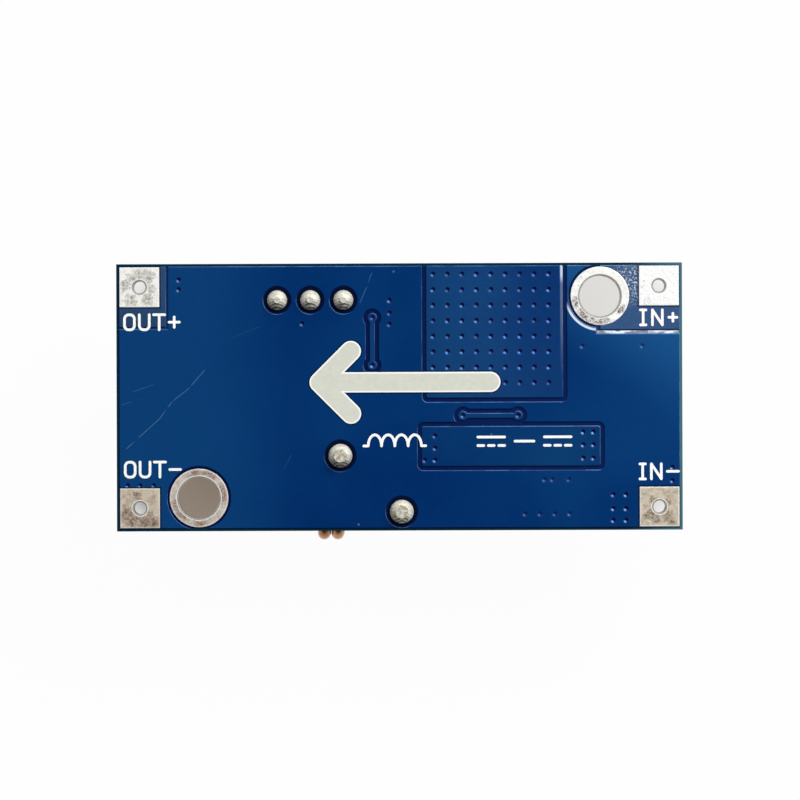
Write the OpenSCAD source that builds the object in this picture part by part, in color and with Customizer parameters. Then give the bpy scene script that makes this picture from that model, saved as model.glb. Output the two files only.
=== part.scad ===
// Step-down (buck) converter module, solder side up, as it lies on a bench.
// A two-sided circuit board carries a toroidal inductor, a five-lead regulator, a diode,
// two can capacitors, five chip parts and a multi-turn trimmer, all on its underside.
// Z = 0 is the surface that the capacitors and the trimmer's screw stand on.
// X runs from the output end to the input end, and Y across the board.

/* [Board] */
// Length of the board
board_l = 43.4; // [43:0.2:60]
// Width of the board
board_w = 20.5; // [20:0.1:30]
// Thickness of the board, foil and solder mask included
board_t = 1.6; // [1:0.1:2.4]
// Thickness of the copper foil with the solder mask on it
foil_t = 0.07; // [0.05:0.01:0.12]
// Bare strip between two copper areas
channel = 0.3; // [0.2:0.05:0.35]
// Bare strip between the copper and the board's edge
copper_setback = 0.2; // [0.1:0.05:0.3]
// Height of the can capacitors, on which the module stands
stand_h = 10.9; // [10.8:0.1:14]

/* [Terminals and mounting holes] */
// Side of a square terminal pad
terminal_pad = 3.05; // [2.5:0.05:3.3]
// Bore of a terminal
terminal_hole_d = 1; // [0.8:0.1:1.6]
// Distance from a terminal pad to the board's edges
terminal_inset = 0.25; // [0.2:0.05:0.6]
// Bore of a mounting hole, for an M3 screw
mount_hole_d = 3.2; // [2.4:0.1:3.5]
// Outer diameter of the tinned ring round a mounting hole
mount_ring_d = 4.5; // [4:0.1:4.8]
// Distance from a mounting hole's centre to the board's end
mount_from_end = 6.3; // [6:0.1:6.6]
// Distance from a mounting hole's centre to the board's side
mount_from_side = 2.55; // [2.45:0.05:3]
// Bare ring round a mounting hole's tinned ring
mount_clear = 0.18; // [0.1:0.02:0.2]
// Solder coat that stands over the mask
tin_t = 0.02; // [0.01:0.01:0.05]

/* [Printed arrow] */
// Width of the arrow's strokes
arrow_stroke = 1.56; // [1:0.02:2]
// Distance between the centres of the arrow's rounded ends
arrow_l = 13.09; // [8:0.01:14]
// Reach of each barb, along X and along Y
arrow_barb = 2.4; // [1.6:0.1:3]
// Thickness of the ink
ink_t = 0.03; // [0.02:0.01:0.06]

/* [Vias] */
// Diameter of a via's dimple
via_d = 0.42; // [0.3:0.02:0.6]
// Depth of a via's dimple in the mask
via_depth = 0.05; // [0.02:0.01:0.05]
// Spacing of the cooling vias, along X
via_pitch_x = 1.11; // [0.9:0.01:1.4]
// Spacing of the cooling vias, along Y
via_pitch_y = 1.19; // [0.9:0.01:1.4]

/* [Trimmer] */
// Length of the trimmer's housing
trimmer_l = 9.53; // [8.8:0.01:10]
// Width of the trimmer's housing
trimmer_w = 4.83; // [4.4:0.01:5.1]
// Height of the trimmer's housing
trimmer_h = 10.03; // [9.4:0.01:10.1]
// Spacing of the trimmer's pins
pin_pitch = 2.54; // [2.4:0.01:2.6]
// Diameter of a trimmer pin
pin_d = 0.5; // [0.4:0.02:0.6]
// Diameter of the adjusting screw's head
screw_d = 2.2; // [1.8:0.1:2.4]
// Distance from the screw's axis to the housing's end
screw_from_end = 1.7; // [1.6:0.1:2.2]
// Reach of the screw's head out of the housing
screw_proud = 0.7; // [0.4:0.1:0.7]
// Radial running gap round the screw
screw_gap = 0.05; // [0.02:0.01:0.08]

/* [Inductor] */
// Outer diameter of the core
core_od = 12.7; // [12.2:0.1:13]
// Inner diameter of the core
core_id = 7.7; // [7.6:0.1:8]
// Height of the core
core_h = 4.83; // [4:0.01:7]
// Rounding of the core's edges
core_edge = 0.5; // [0.3:0.1:0.8]
// Diameter of the winding wire
wire_d = 1; // [0.6:0.05:1]
// Pairs of turns round the core
turn_pairs = 10; // [6:1:10]
// Gap between the two turns of a pair, at the outside
pair_gap = 0.05; // [0.05:0.01:0.4]

/* [Regulator] */
// Width of the regulator's body
regulator_w = 10.16; // [9.8:0.01:10.3]
// Length of the regulator's body
regulator_l = 8.9; // [8.4:0.1:9.1]
// Height of the regulator's body
regulator_h = 4.45; // [4:0.05:4.8]
// Thickness of the regulator's tab
tab_t = 1.27; // [1:0.01:1.4]
// Length of tab that shows past the body
tab_reach = 1.3; // [1:0.1:1.5]
// Spacing of the regulator's leads
lead_pitch = 1.7; // [1.5:0.01:1.8]
// Width of a regulator lead
lead_w = 0.8; // [0.6:0.05:0.9]
// Thickness of a regulator lead
lead_t = 0.45; // [0.3:0.05:0.5]
// Reach of a regulator lead, from the body to its tip
lead_reach = 5; // [4.5:0.1:5.3]

/* [Capacitors] */
// Diameter of a capacitor's can
can_d = 8; // [7.4:0.1:8.1]
// Side of a capacitor's base plate
base_side = 8.3; // [8.2:0.1:8.4]
// Height of the base plate's floor
base_floor = 0.8; // [0.6:0.1:1.2]
// Length over both leads of a capacitor
can_span = 10; // [9:0.1:10.4]

/* [Diode and chip parts] */
// Length of the diode's body
diode_l = 4.57; // [4.2:0.01:4.8]
// Width of the diode's body
diode_w = 3.6; // [3:0.1:3.9]
// Height of the diode
diode_h = 2.3; // [2:0.1:2.6]
// Length of a chip part
chip_l = 2; // [1.6:0.1:2.2]
// Width of a chip part
chip_w = 1.25; // [1:0.05:1.4]
// Height of a chip capacitor
chip_cap_h = 0.85; // [0.6:0.05:1.25]
// Height of a chip resistor
chip_res_h = 0.55; // [0.4:0.05:0.65]

/* [Hidden] */
$fn = 48;

// The laminate, between the foils of the board's two sides
laminate_t = board_t - 2 * foil_t;
laminate_top = stand_h + foil_t + laminate_t;
through = 4 * board_t; // longer than any hole through the board

// Ends and sides of the board
out_end = -board_l / 2;
in_end = board_l / 2;
far_side = board_w / 2;
near_side = -board_w / 2;

// Centres of the terminals and of the mounting holes
terminal_x = in_end - terminal_inset - terminal_pad / 2;
terminal_y = far_side - terminal_inset - terminal_pad / 2;
mount_in = [in_end - mount_from_end, far_side - mount_from_side];
mount_out = -mount_in;
terminals = [for (sx = [-1, 1]) for (sy = [-1, 1]) [sx * terminal_x, sy * terminal_y]];

// Winding: turns round the core, and the two ends that go through the board
turns = 2 * turn_pairs;
turn_angle = 360 / turns;
wire_gap = 0.05; // between the wire and the core
core_low = wire_d + 2 * wire_gap;
bend_r = core_edge + wire_gap + wire_d / 2;
ri = core_id / 2 - wire_gap - wire_d / 2; // wire's centre line inside the core
ro = core_od / 2 + wire_gap + wire_d / 2; // and outside it
winding_r = ro + wire_d / 2;
z_low = core_low - wire_gap - wire_d / 2;
z_high = core_low + core_h + wire_gap + wire_d / 2;
half_pair = asin((wire_d + pair_gap) / 2 / ro); // half the angle between two turns of a pair
lead_bend_r = 1.5 * wire_d; // S-bend at each end of the wire
lead_straight = 0.5; // from the board to the S-bend
// The last pair but one hangs straight below, where it shows past the board's near side
first_turn = -90 + turn_angle * (3 - turns);

// Places of the parts. Each row starts at the input end or the far side, and each part
// stands off its neighbour, so the parts stay together when the board grows.
capacitor_inset = 0.3; // from the board's input end
regulator_inset = 0.55; // from the far side to the regulator's tab
trimmer_inset = 0.385;
chip_inset = 0.775;
capacitor_gap = 0.72; // between the input capacitor and the regulator
winding_gap = 0.14; // between the regulator and the winding
output_gap = 0.43; // between the winding and the output capacitor
trimmer_gap = 1.255; // between the trimmer and the winding
diode_gap = 0.45; // between the regulator's leads and the diode
chip_gap = 1.05; // between the regulator's leads and the compensation capacitor
chip_row = 2; // spacing of the three chip parts beside the trimmer
input_capacitor_at = [in_end - capacitor_inset - base_side / 2, -0.8];
regulator_at = [input_capacitor_at.x - base_side / 2 - capacitor_gap - regulator_w / 2,
    far_side - regulator_inset - tab_reach - regulator_l / 2];
lead_tips = regulator_at.y - regulator_l / 2 - lead_reach;
inductor_x = regulator_at.x - regulator_w / 2 - winding_gap - winding_r;
trimmer_at = [inductor_x - 1.5, far_side - trimmer_inset - trimmer_w / 2];
inductor_at = [inductor_x, trimmer_at.y - trimmer_w / 2 - trimmer_gap - winding_r];
output_capacitor_at = [inductor_at.x - winding_r - output_gap - base_side / 2, 1];
diode_at = [regulator_at.x + 0.6, lead_tips - diode_gap - diode_w / 2];
compensation_at = [regulator_at.x - 4.4, lead_tips - chip_gap - chip_l / 2];
input_chip_at = input_capacitor_at - [2.65, base_side / 2 + 1.9 + chip_l / 2];
feedback_at = [regulator_at.x - regulator_w / 2 - 1.32 - chip_l / 2, far_side - chip_inset - chip_w / 2];
feedforward_at = feedback_at - [0, chip_row];
output_chip_at = feedback_at - [0, 2 * chip_row];
screw_at = trimmer_at - [trimmer_l / 2 - screw_from_end, 0];
winding_start = inductor_at + [0.77, -0.88];
winding_end = inductor_at + [5.47, -5.18];

// Copper areas of the solder side
switch_size = [10.5, 10.15];
switch_via_margin = [0.53, 0.65];
ground_neck = 0.12; // narrowest ground copper, between the switch area and a mounting ring
switch_at = [mount_in.x - mount_ring_d / 2 - mount_clear - ground_neck - channel - switch_size.x / 2,
    far_side - copper_setback - switch_size.y / 2];
bridge_size = [13.72, 3.08];
bridge_at = regulator_at + [1.24, -7.75];
output_channel = 0.15; // bare strip round the output copper
link_w = 0.4;
link_pad_d = 0.75;
regulator_link_ends = [regulator_at + [-2.45, -5.41], regulator_at + [1.78, -5.41]];
trimmer_link_ends = [trimmer_at + [4.74, -1.37], trimmer_at + [4.74, -5.03]];
input_low = far_side - 5.15; // lower edge of the input copper
output_low = far_side - 4.85; // lower edge of the output copper
output_right = out_end + 3.8;

// Solder joints: radius of the dome's foot, and of the bare ring round it
trimmer_joint_r = 0.77;
inductor_joint_r = 0.92;
joint_clear = 0.3;
joint_rise = 0.9; // height of a dome as a share of its foot's radius
pin_proud = 0.12; // end of a pin over its dome

// Printed arrow: the point of the arrow, at the centre of its stroke
arrow_tip = [-6.12, 1.13];

// Vias outside the cooling grid
bridge_vias = concat(
    [for (x = [5.53, 6.31]) for (y = [1.06, 0.08, -0.94]) bridge_at + [x, y]],
    [for (y = [0.79, -0.14, -1.07]) bridge_at + [-5.84, y]],
    [bridge_at + [-6.62, -1.07]]);
ground_vias = concat(
    [for (x = [-0.95, 0, 1.05]) [x - terminal_x, 1.72 - terminal_y]],
    [for (y = [0.55, -0.2]) [3 - terminal_x, terminal_y + y]],
    [for (y = [3, 1.98]) [terminal_x + 0.97, y - terminal_y]],
    [for (x = [-3.56, -2.59]) for (y = [0.92, -0.15, -1.05]) [terminal_x + x, y - terminal_y]],
    [for (x = [-5.9, -1.3]) [terminal_x + x, input_low - 1.25]],
    [for (y = [-0.05, -1.02, -1.88]) trimmer_at + [6.06, y]],
    [trimmer_at + [-0.64, -1.82]],
    [for (x = [3.2, 3.8, 5.06]) diode_at + [x, 1.37]],
    [for (x = [1.7, 2.84, 3.98, 5.12]) diode_at + [x, -1.25]]);

// Seats and running gaps
seat_gap = 0.05;
hole_gap = 0.2; // radial room for solder round a pin
collar_d = screw_d + 0.5;
collar_t = 0.5;
shank_d = screw_d - 0.6;

// ---------- Helpers ----------

// The origin lies midway between the far side and the winding, which passes the near side
centre_shift = (near_side - (inductor_at.y - ro * cos(half_pair) - wire_d / 2)) / 2;

// Puts a part on the underside: its own +Z points away from the board
module under_board(at = [0, 0]) {
    translate([at.x, at.y + centre_shift, stand_h]) mirror([0, 0, 1]) children();
}

// Puts a part on the solder side, on the bare laminate
module over_board(at = [0, 0]) {
    translate([at.x, at.y + centre_shift, laminate_top]) children();
}

// Rectangle with rounded corners, centred
module rounded_rect(size, r) {
    square([size.x - 2 * r, size.y], center = true);
    square([size.x, size.y - 2 * r], center = true);
    for (sx = [-1, 1], sy = [-1, 1])
        translate([sx * (size.x / 2 - r), sy * (size.y / 2 - r)]) circle(r);
}

// Straight stroke with round ends
module stroke(from, to, w) {
    run = to - from;
    for (p = [from, to]) translate(p) circle(d = w);
    translate((from + to) / 2) rotate(atan2(run.y, run.x)) square([norm(run), w], center = true);
}

// Track between two vias, with a round pad at each end, grown by extra all round
module link_outline(ends, extra = 0) {
    stroke(ends[0], ends[1], link_w + 2 * extra);
    for (p = ends) translate(p) circle(d = link_pad_d + 2 * extra);
}

// Dimples of tented vias, sunk from the top of the mask
module dimples(places) {
    ball_r = (via_d * via_d / 4 + via_depth * via_depth) / (2 * via_depth);
    for (p = places) translate([p.x, p.y, foil_t - via_depth + ball_r]) sphere(ball_r, $fn = 32);
}

// Area of masked copper on the solder side
module copper_area(vias = []) {
    color("#0b3f7c") over_board() difference() {
        linear_extrude(foil_t) children();
        dimples(vias);
    }
}

// Tinned land of the solder side round a hole
module tinned_land(at, bore_d) {
    color("#c9c6bd") over_board(at) difference() {
        linear_extrude(foil_t + tin_t) children();
        cylinder(d = bore_d, h = through, center = true);
    }
}

// Block whose four sides lean in above its waist, centred on its foot
module drafted_block(size, waist, lean) {
    intersection() {
        rotate([90, 0, 0]) linear_extrude(size.y + 1, center = true)
            drafted_outline(size.x, size.z, waist, lean);
        rotate([90, 0, 90]) linear_extrude(size.x + 1, center = true)
            drafted_outline(size.y, size.z, waist, lean);
    }
}

module drafted_outline(w, h, waist, lean) {
    polygon([[-w / 2 + lean / 3, 0], [w / 2 - lean / 3, 0], [w / 2, waist],
        [w / 2 - lean, h], [-w / 2 + lean, h], [-w / 2, waist]]);
}

// ---------- Board and copper ----------

module circuit_board() {
    color("#0a2f6b") over_board() difference() {
        translate([out_end, near_side, -laminate_t]) cube([board_l, board_w, laminate_t]);
        for (at = terminals)
            translate(at) cylinder(d = terminal_hole_d, h = through, center = true);
        for (at = [mount_in, mount_out])
            translate(at) cylinder(d = mount_hole_d, h = through, center = true);
        for (k = [-1:1])
            translate(trimmer_at + [k * pin_pitch, 0])
                cylinder(d = pin_d + 2 * hole_gap, h = through, center = true);
        for (at = [winding_start, winding_end])
            translate(at) cylinder(d = wire_d + 2 * hole_gap, h = through, center = true);
    }
}

// Outlines of the areas that the ground copper keeps clear of
module switch_outline(extra = 0) {
    translate(switch_at) rounded_rect(switch_size + 2 * [extra, extra], 0.1 + extra);
}

module bridge_outline(extra = 0) {
    translate(bridge_at) rounded_rect(bridge_size + 2 * [extra, extra], 0.15 + extra);
}

// Corner areas, from the edge of the copper in to a mounting hole or a set line
module input_outline(extra = 0) {
    size = [in_end - copper_setback - mount_in.x, far_side - copper_setback - input_low];
    translate([mount_in.x, input_low] - [extra, extra]) square(size + 2 * [extra, extra]);
}

module output_outline(extra = 0) {
    left = out_end + copper_setback;
    size = [output_right - left, far_side - copper_setback - output_low];
    translate([left, output_low] - [extra, extra]) square(size + 2 * [extra, extra]);
}

module ground_copper() {
    copper_area(ground_vias) difference() {
        square([board_l, board_w] - 2 * [copper_setback, copper_setback], center = true);
        switch_outline(channel);
        translate([switch_at.x, far_side])
            square([switch_size.x + 2 * channel, 4 * copper_setback], center = true);
        bridge_outline(channel);
        link_outline(regulator_link_ends, channel);
        link_outline(trimmer_link_ends, channel);
        input_outline(channel);
        output_outline(output_channel);
        for (at = [mount_in, mount_out]) translate(at) circle(d = mount_ring_d + 2 * mount_clear);
        for (sx = [-1, 1])
            translate([sx * terminal_x, -terminal_y]) square(terminal_pad, center = true);
        for (k = [-1:1])
            translate(trimmer_at + [k * pin_pitch, 0]) circle(trimmer_joint_r + joint_clear);
        for (at = [winding_start, winding_end])
            translate(at) circle(inductor_joint_r + joint_clear);
    }
}

module switch_copper() {
    span = switch_size - 2 * switch_via_margin;
    first = switch_at + [-span.x, span.y] / 2;
    copper_area([for (x = [0:via_pitch_x:span.x + 0.01]) for (y = [0:via_pitch_y:span.y + 0.01])
        first + [x, -y]]) switch_outline();
}

module input_copper() {
    copper_area() difference() {
        input_outline();
        translate(mount_in) circle(d = mount_ring_d);
        translate([terminal_x, terminal_y]) square(terminal_pad, center = true);
    }
}

module output_copper() {
    copper_area() difference() {
        output_outline();
        translate([-terminal_x, terminal_y]) square(terminal_pad, center = true);
    }
}

module bridge_copper() copper_area(bridge_vias) bridge_outline();

module regulator_link() copper_area(regulator_link_ends) link_outline(regulator_link_ends);

module trimmer_link() copper_area(trimmer_link_ends) link_outline(trimmer_link_ends);

// sx and sy choose the corner: input or output end, far or near side
module terminal(sx, sy) {
    tinned_land([sx * terminal_x, sy * terminal_y], terminal_hole_d)
        square(terminal_pad, center = true);
}

module mounting_ring(at) tinned_land(at, mount_hole_d) circle(d = mount_ring_d);

module printed_arrow() {
    tip = arrow_tip;
    color("#dfe0d8") over_board() translate([0, 0, foil_t]) linear_extrude(ink_t) {
        stroke(tip, tip + [arrow_l, 0], arrow_stroke);
        for (sy = [-1, 1]) stroke(tip, tip + [arrow_barb, sy * arrow_barb], arrow_stroke);
    }
}

// ---------- Trimmer ----------

potting_low = 0.4;
potting_top = 1.4;
housing_wall = 0.5;
foot_l = 1.5; // the two feet on which the housing stands off the board
pin_top = 3;

module trimmer_housing() {
    foot_gap = [trimmer_l - 2 * foot_l, trimmer_w + 1, potting_low];
    color("#1f5fb8") under_board(trimmer_at) difference() {
        linear_extrude(trimmer_h) rounded_rect([trimmer_l, trimmer_w], 0.3);
        translate([0, 0, -1]) linear_extrude(potting_top + 1)
            square([trimmer_l, trimmer_w] - 2 * [housing_wall, housing_wall], center = true);
        translate([0, 0, foot_gap.z / 2 - 0.5]) cube(foot_gap + [0, 0, 1], center = true);
        for (k = [-1:1]) translate([k * pin_pitch, 0, 0]) cylinder(d = pin_d, h = pin_top);
        translate(screw_at - trimmer_at) screw_form(screw_gap);
    }
}

module trimmer_potting() {
    color("#c9b98a") under_board(trimmer_at) difference() {
        translate([0, 0, potting_low]) linear_extrude(potting_top - potting_low)
            square([trimmer_l, trimmer_w] - 2 * [housing_wall, housing_wall], center = true);
        for (k = [-1:1]) translate([k * pin_pitch, 0, 0]) cylinder(d = pin_d, h = pin_top);
    }
}

module trimmer_pin(k) {
    foot = board_t + dome_h(trimmer_joint_r) + pin_proud;
    color("#d8d2c0") under_board(trimmer_at + [k * pin_pitch, 0])
        translate([0, 0, -foot]) cylinder(d = pin_d, h = foot + pin_top);
}

// The screw's turned form; grown by gap it is the bore that holds it
shank_low = 4;
collar_low = 7;
screw_top = trimmer_h + screw_proud;
module screw_form(gap = 0) {
    translate([0, 0, shank_low - gap]) cylinder(d = shank_d + 2 * gap, h = collar_low - shank_low);
    translate([0, 0, collar_low - gap]) cylinder(d = collar_d + 2 * gap, h = collar_t + 2 * gap);
    translate([0, 0, collar_low]) cylinder(d = screw_d + 2 * gap, h = screw_top - collar_low);
}

module trimmer_screw() {
    slot_w = 0.56;
    slot_depth = 0.5;
    chamfer = 0.15;
    color("#c8a24a") under_board(screw_at) difference() {
        screw_form();
        translate([0, 0, screw_top]) cube([screw_d + 1, slot_w, 2 * slot_depth], center = true);
        translate([0, 0, screw_top - chamfer]) rotate_extrude()
            polygon([[screw_d / 2, 0], [screw_d / 2 + 1, 0], [screw_d / 2 + 1, 1],
                [screw_d / 2 - chamfer, 1], [screw_d / 2 - chamfer, chamfer]]);
    }
}

// ---------- Inductor ----------

function dome_h(r) = joint_rise * r;
function polar(r, a) = [r * cos(a), r * sin(a)];
function lift(p, z) = [p.x, p.y, z];
function inner_leg(i) = polar(ri, first_turn + i * turn_angle);
function outer_leg(i) = polar(ro, first_turn
    + (i % 2 == 0 ? (i + 1) * turn_angle - half_pair : i * turn_angle + half_pair));
leg_low = z_low + bend_r;
leg_high = z_high - bend_r;
wire_foot = board_t + dome_h(inductor_joint_r) + pin_proud;

// The wire leaves a leg, crosses the core in an arch and goes back along the next leg
function arch(from, to, z, up) =
    let (along = unit(to - from),
        rise = [for (a = [0:30:90]) [bend_r * (1 - cos(a)), up * bend_r * sin(a)]])
    concat([for (p = rise) lift(from + along * p.x, z + p.y)],
        [for (k = [len(rise) - 1:-1:0]) lift(to - along * rise[k].x, z + rise[k].y)]);

// Straight foot through the board, then an S-bend over to the leg
function wire_end(foot, leg) =
    let (run = leg - foot, turned = acos(1 - norm(run) / 2 / lead_bend_r),
        half = [for (k = [0:3]) lead_bend_r * [1 - cos(turned * k / 3), sin(turned * k / 3)]])
    concat([lift(foot, -wire_foot)], [for (p = half) lift(foot + unit(run) * p.x, lead_straight + p.y)],
        [for (k = [2:-1:0]) lift(leg - unit(run) * half[k].x, lead_straight + 2 * half[3].y - half[k].y)]);
function reversed(path) = [for (k = [len(path) - 1:-1:0]) path[k]];

winding_path = concat(
    wire_end(winding_start - inductor_at, inner_leg(0)),
    [for (i = [0:turns - 1]) each concat(
        i == 0 ? [] : arch(outer_leg(i - 1), inner_leg(i), leg_low, -1),
        arch(inner_leg(i), outer_leg(i), leg_high, 1))],
    reversed(wire_end(winding_end - inductor_at, outer_leg(turns - 1))));

// Tube along a path, with a frame carried from ring to ring without twist
function unit(v) = v / norm(v);
function heading(path, i) = unit(
    i == 0 ? path[1] - path[0]
    : i == len(path) - 1 ? path[i] - path[i - 1]
    : unit(path[i + 1] - path[i]) + unit(path[i] - path[i - 1]));
function level(v, t) = unit(v - (v * t) * t);
module tube(path, d, sides = 8) {
    last = len(path) - 1;
    normals = [for (i = 0, n = level([1, 0.2, 0], heading(path, 0)); i <= last;
        i = i + 1, n = i <= last ? level(n, heading(path, i)) : n) n];
    points = [for (i = [0:last]) let (u = normals[i], v = cross(heading(path, i), u))
        for (k = [0:sides - 1]) path[i] + d / 2 * (u * cos(360 * k / sides) + v * sin(360 * k / sides))];
    walls = [for (i = [0:last - 1]) for (k = [0:sides - 1]) let (m = (k + 1) % sides)
        [i * sides + k, (i + 1) * sides + k, (i + 1) * sides + m, i * sides + m]];
    polyhedron(points, concat([[for (k = [0:sides - 1]) k]], walls,
        [[for (k = [sides - 1:-1:0]) last * sides + k]]));
}

module inductor_core() {
    wall = (core_od - core_id) / 2;
    color("#d9b92e") under_board(inductor_at) rotate_extrude()
        translate([core_id / 2 + wall / 2, core_low + core_h / 2]) rounded_rect([wall, core_h], core_edge);
}

module inductor_winding() color("#b4663a") under_board(inductor_at) tube(winding_path, wire_d);

// ---------- Regulator ----------

tab_w = regulator_w - 0.5;
tab_from = 1.2 - regulator_l / 2; // near end of the tab, inside the body
tab_l = regulator_l / 2 + tab_reach - tab_from;
lead_exit_z = 2.5;
lead_foot = 2.4; // length of a lead's flat foot
lead_shoulder = 1; // level part of a lead outside the body
lead_root_l = 1.5; // and inside it

module regulator_body() {
    mark_d = 1.6;
    color("#232326") under_board(regulator_at) difference() {
        drafted_block([regulator_w, regulator_l, regulator_h], tab_t + 0.6, 0.35);
        tab_form();
        tab_neck();
        for (k = [-2:2]) lead_root(k);
        translate([0, regulator_l / 4, regulator_h - 0.1]) cylinder(d = mark_d, h = 1);
    }
}

// Heat-spreading tab, exposed below and at its far end, with a notch in each side
module tab_form() {
    notch_r = 0.6;
    translate([0, tab_from + tab_l / 2, 0]) difference() {
        linear_extrude(tab_t) rounded_rect([tab_w, tab_l], 0.4);
        for (sx = [-1, 1])
            translate([sx * tab_w / 2, tab_l / 2 - tab_reach, -1]) cylinder(r = notch_r, h = tab_t + 2);
    }
}

// Post inside the body that joins the tab to the middle lead
module tab_neck() {
    translate([-lead_w / 2, tab_from, tab_t / 2]) cube([lead_w, lead_t, lead_exit_z + lead_t - tab_t / 2]);
}

// Part of a lead inside the body
module lead_root(k) {
    translate([k * lead_pitch - lead_w / 2, -regulator_l / 2 - lead_shoulder, lead_exit_z])
        cube([lead_w, lead_shoulder + lead_root_l, lead_t]);
}

// Gull-wing lead k of five, counted from the middle
module gull_lead(k) {
    y0 = -regulator_l / 2;
    root = y0 + lead_root_l;
    knee = y0 - lead_shoulder;
    heel = y0 - lead_reach + lead_foot;
    toe = y0 - lead_reach;
    translate([k * lead_pitch, 0, 0]) rotate([90, 0, 90])
        linear_extrude(lead_w, center = true)
            polygon([[root, lead_exit_z], [knee, lead_exit_z], [heel, 0], [toe, 0], [toe, lead_t],
                [heel - lead_t * 0.4, lead_t], [knee - lead_t * 0.4, lead_exit_z + lead_t],
                [root, lead_exit_z + lead_t]]);
}

module regulator_lead(k) color("#c4c2ba") under_board(regulator_at) gull_lead(k);

// The middle lead is one piece with the tab, joined to it inside the body
module regulator_tab() {
    color("#c4c2ba") under_board(regulator_at) {
        tab_form();
        tab_neck();
        gull_lead(0);
    }
}

// ---------- Capacitors ----------

foot_w = 0.9;
foot_t = 0.25;
foot_inner = 1.3; // where a foot turns up into the can
corner_h = 2; // height of the base's corner posts
can_low = base_floor + seat_gap;

module capacitor_base(at) {
    bevel = 1.2;
    side = base_side / 2;
    color("#26262a") under_board(at) difference() {
        linear_extrude(corner_h) polygon([[-side, -side], [side, -side], [side, side - bevel],
            [side - bevel, side], [-side + bevel, side], [-side, side - bevel]]);
        translate([0, 0, base_floor]) cylinder(d = can_d + 2 * seat_gap, h = corner_h);
        for (turned = [0, 90]) rotate(turned)
            translate([0, 0, base_floor + corner_h / 2])
                cube([base_side / 2, base_side + 1, corner_h], center = true);
        for (sy = [-1, 1]) {
            translate([0, sy * (foot_inner + base_side) / 2, 0])
                cube([foot_w + 2 * seat_gap, base_side - foot_inner + 2 * seat_gap,
                    2 * (foot_t + seat_gap)], center = true);
            translate([0, sy * (foot_inner + foot_t / 2), 0])
                cube([foot_w + 2 * seat_gap, foot_t + 2 * seat_gap, 3], center = true);
        }
    }
}

module capacitor_can(at) {
    edge = 0.45;
    groove_r = 0.6;
    groove_depth = 0.35;
    groove_z = 3.1;
    r = can_d / 2;
    color("#cfd1d3") under_board(at) rotate_extrude() difference() {
        union() {
            translate([0, can_low]) square([r - edge, stand_h - can_low]);
            translate([0, can_low]) square([r, stand_h - can_low - edge]);
            translate([r - edge, stand_h - edge]) circle(edge);
        }
        translate([-2 * r, 0]) square([2 * r, 2 * stand_h]);
        translate([r + groove_r - groove_depth, groove_z]) circle(groove_r);
    }
}

// Flat foot under the base, turned up to the can; sy is +1 at the bevelled, positive side
module capacitor_lead(at, sy) {
    color("#d0cdc4") under_board(at) {
        translate([-foot_w / 2, sy > 0 ? foot_inner : -can_span / 2, 0])
            cube([foot_w, can_span / 2 - foot_inner, foot_t]);
        translate([-foot_w / 2, sy > 0 ? foot_inner : -foot_inner - foot_t, 0])
            cube([foot_w, foot_t, can_low]);
    }
}

// ---------- Diode and chip parts ----------

diode_foot_w = 2;
diode_foot_t = 0.2;
diode_foot_l = 1.2;
diode_belt = 1.15; // height at which the leads leave the body

module diode_body() {
    color("#232326") under_board(diode_at) translate([0, 0, diode_foot_t])
        drafted_block([diode_l, diode_w, diode_h - diode_foot_t], diode_belt - diode_foot_t, 0.25);
}

// Strip that leaves the body's end, turns down and folds in under it
module diode_lead(sx) {
    reach = diode_l / 2;
    color("#c4c2ba") under_board(diode_at) rotate([90, 0, 0])
        linear_extrude(diode_foot_w, center = true) {
            translate([sx > 0 ? reach : -reach - 2 * diode_foot_t, 0])
                square([2 * diode_foot_t, diode_foot_t]);
            translate([sx > 0 ? reach + diode_foot_t : -reach - 2 * diode_foot_t, 0])
                square([diode_foot_t, diode_belt + diode_foot_t]);
            translate([sx > 0 ? reach : -reach - 2 * diode_foot_t, diode_belt])
                square([2 * diode_foot_t, diode_foot_t]);
            translate([sx > 0 ? reach - diode_foot_l : -reach, 0])
                square([diode_foot_l, diode_foot_t]);
        }
}

chip_end = 0.4; // length of a chip's metal end
chip_plate = 0.04; // thickness of the metal end

module chip_body(h) cube([chip_l, chip_w, h] - 2 * chip_plate * [1, 1, 1], center = true);

// Two metal caps over the ends of a chip part
module chip_ends(h) difference() {
    for (sx = [-1, 1])
        translate([sx * (chip_l - chip_end) / 2, 0, 0]) cube([chip_end, chip_w, h], center = true);
    chip_body(h);
}

module chip_capacitor(at, turned = 0) {
    color("#b59a6a") under_board(at) rotate(turned) translate([0, 0, chip_cap_h / 2])
        chip_body(chip_cap_h);
}

module chip_capacitor_ends(at, turned = 0) {
    color("#c9c9c6") under_board(at) rotate(turned) translate([0, 0, chip_cap_h / 2])
        chip_ends(chip_cap_h);
}

module feedback_resistor() {
    color("#2a2a2c") under_board(feedback_at) translate([0, 0, chip_res_h / 2]) chip_body(chip_res_h);
}

module feedback_resistor_ends() {
    color("#c9c9c6") under_board(feedback_at) translate([0, 0, chip_res_h / 2]) chip_ends(chip_res_h);
}

// ---------- Component side of the board ----------

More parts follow.
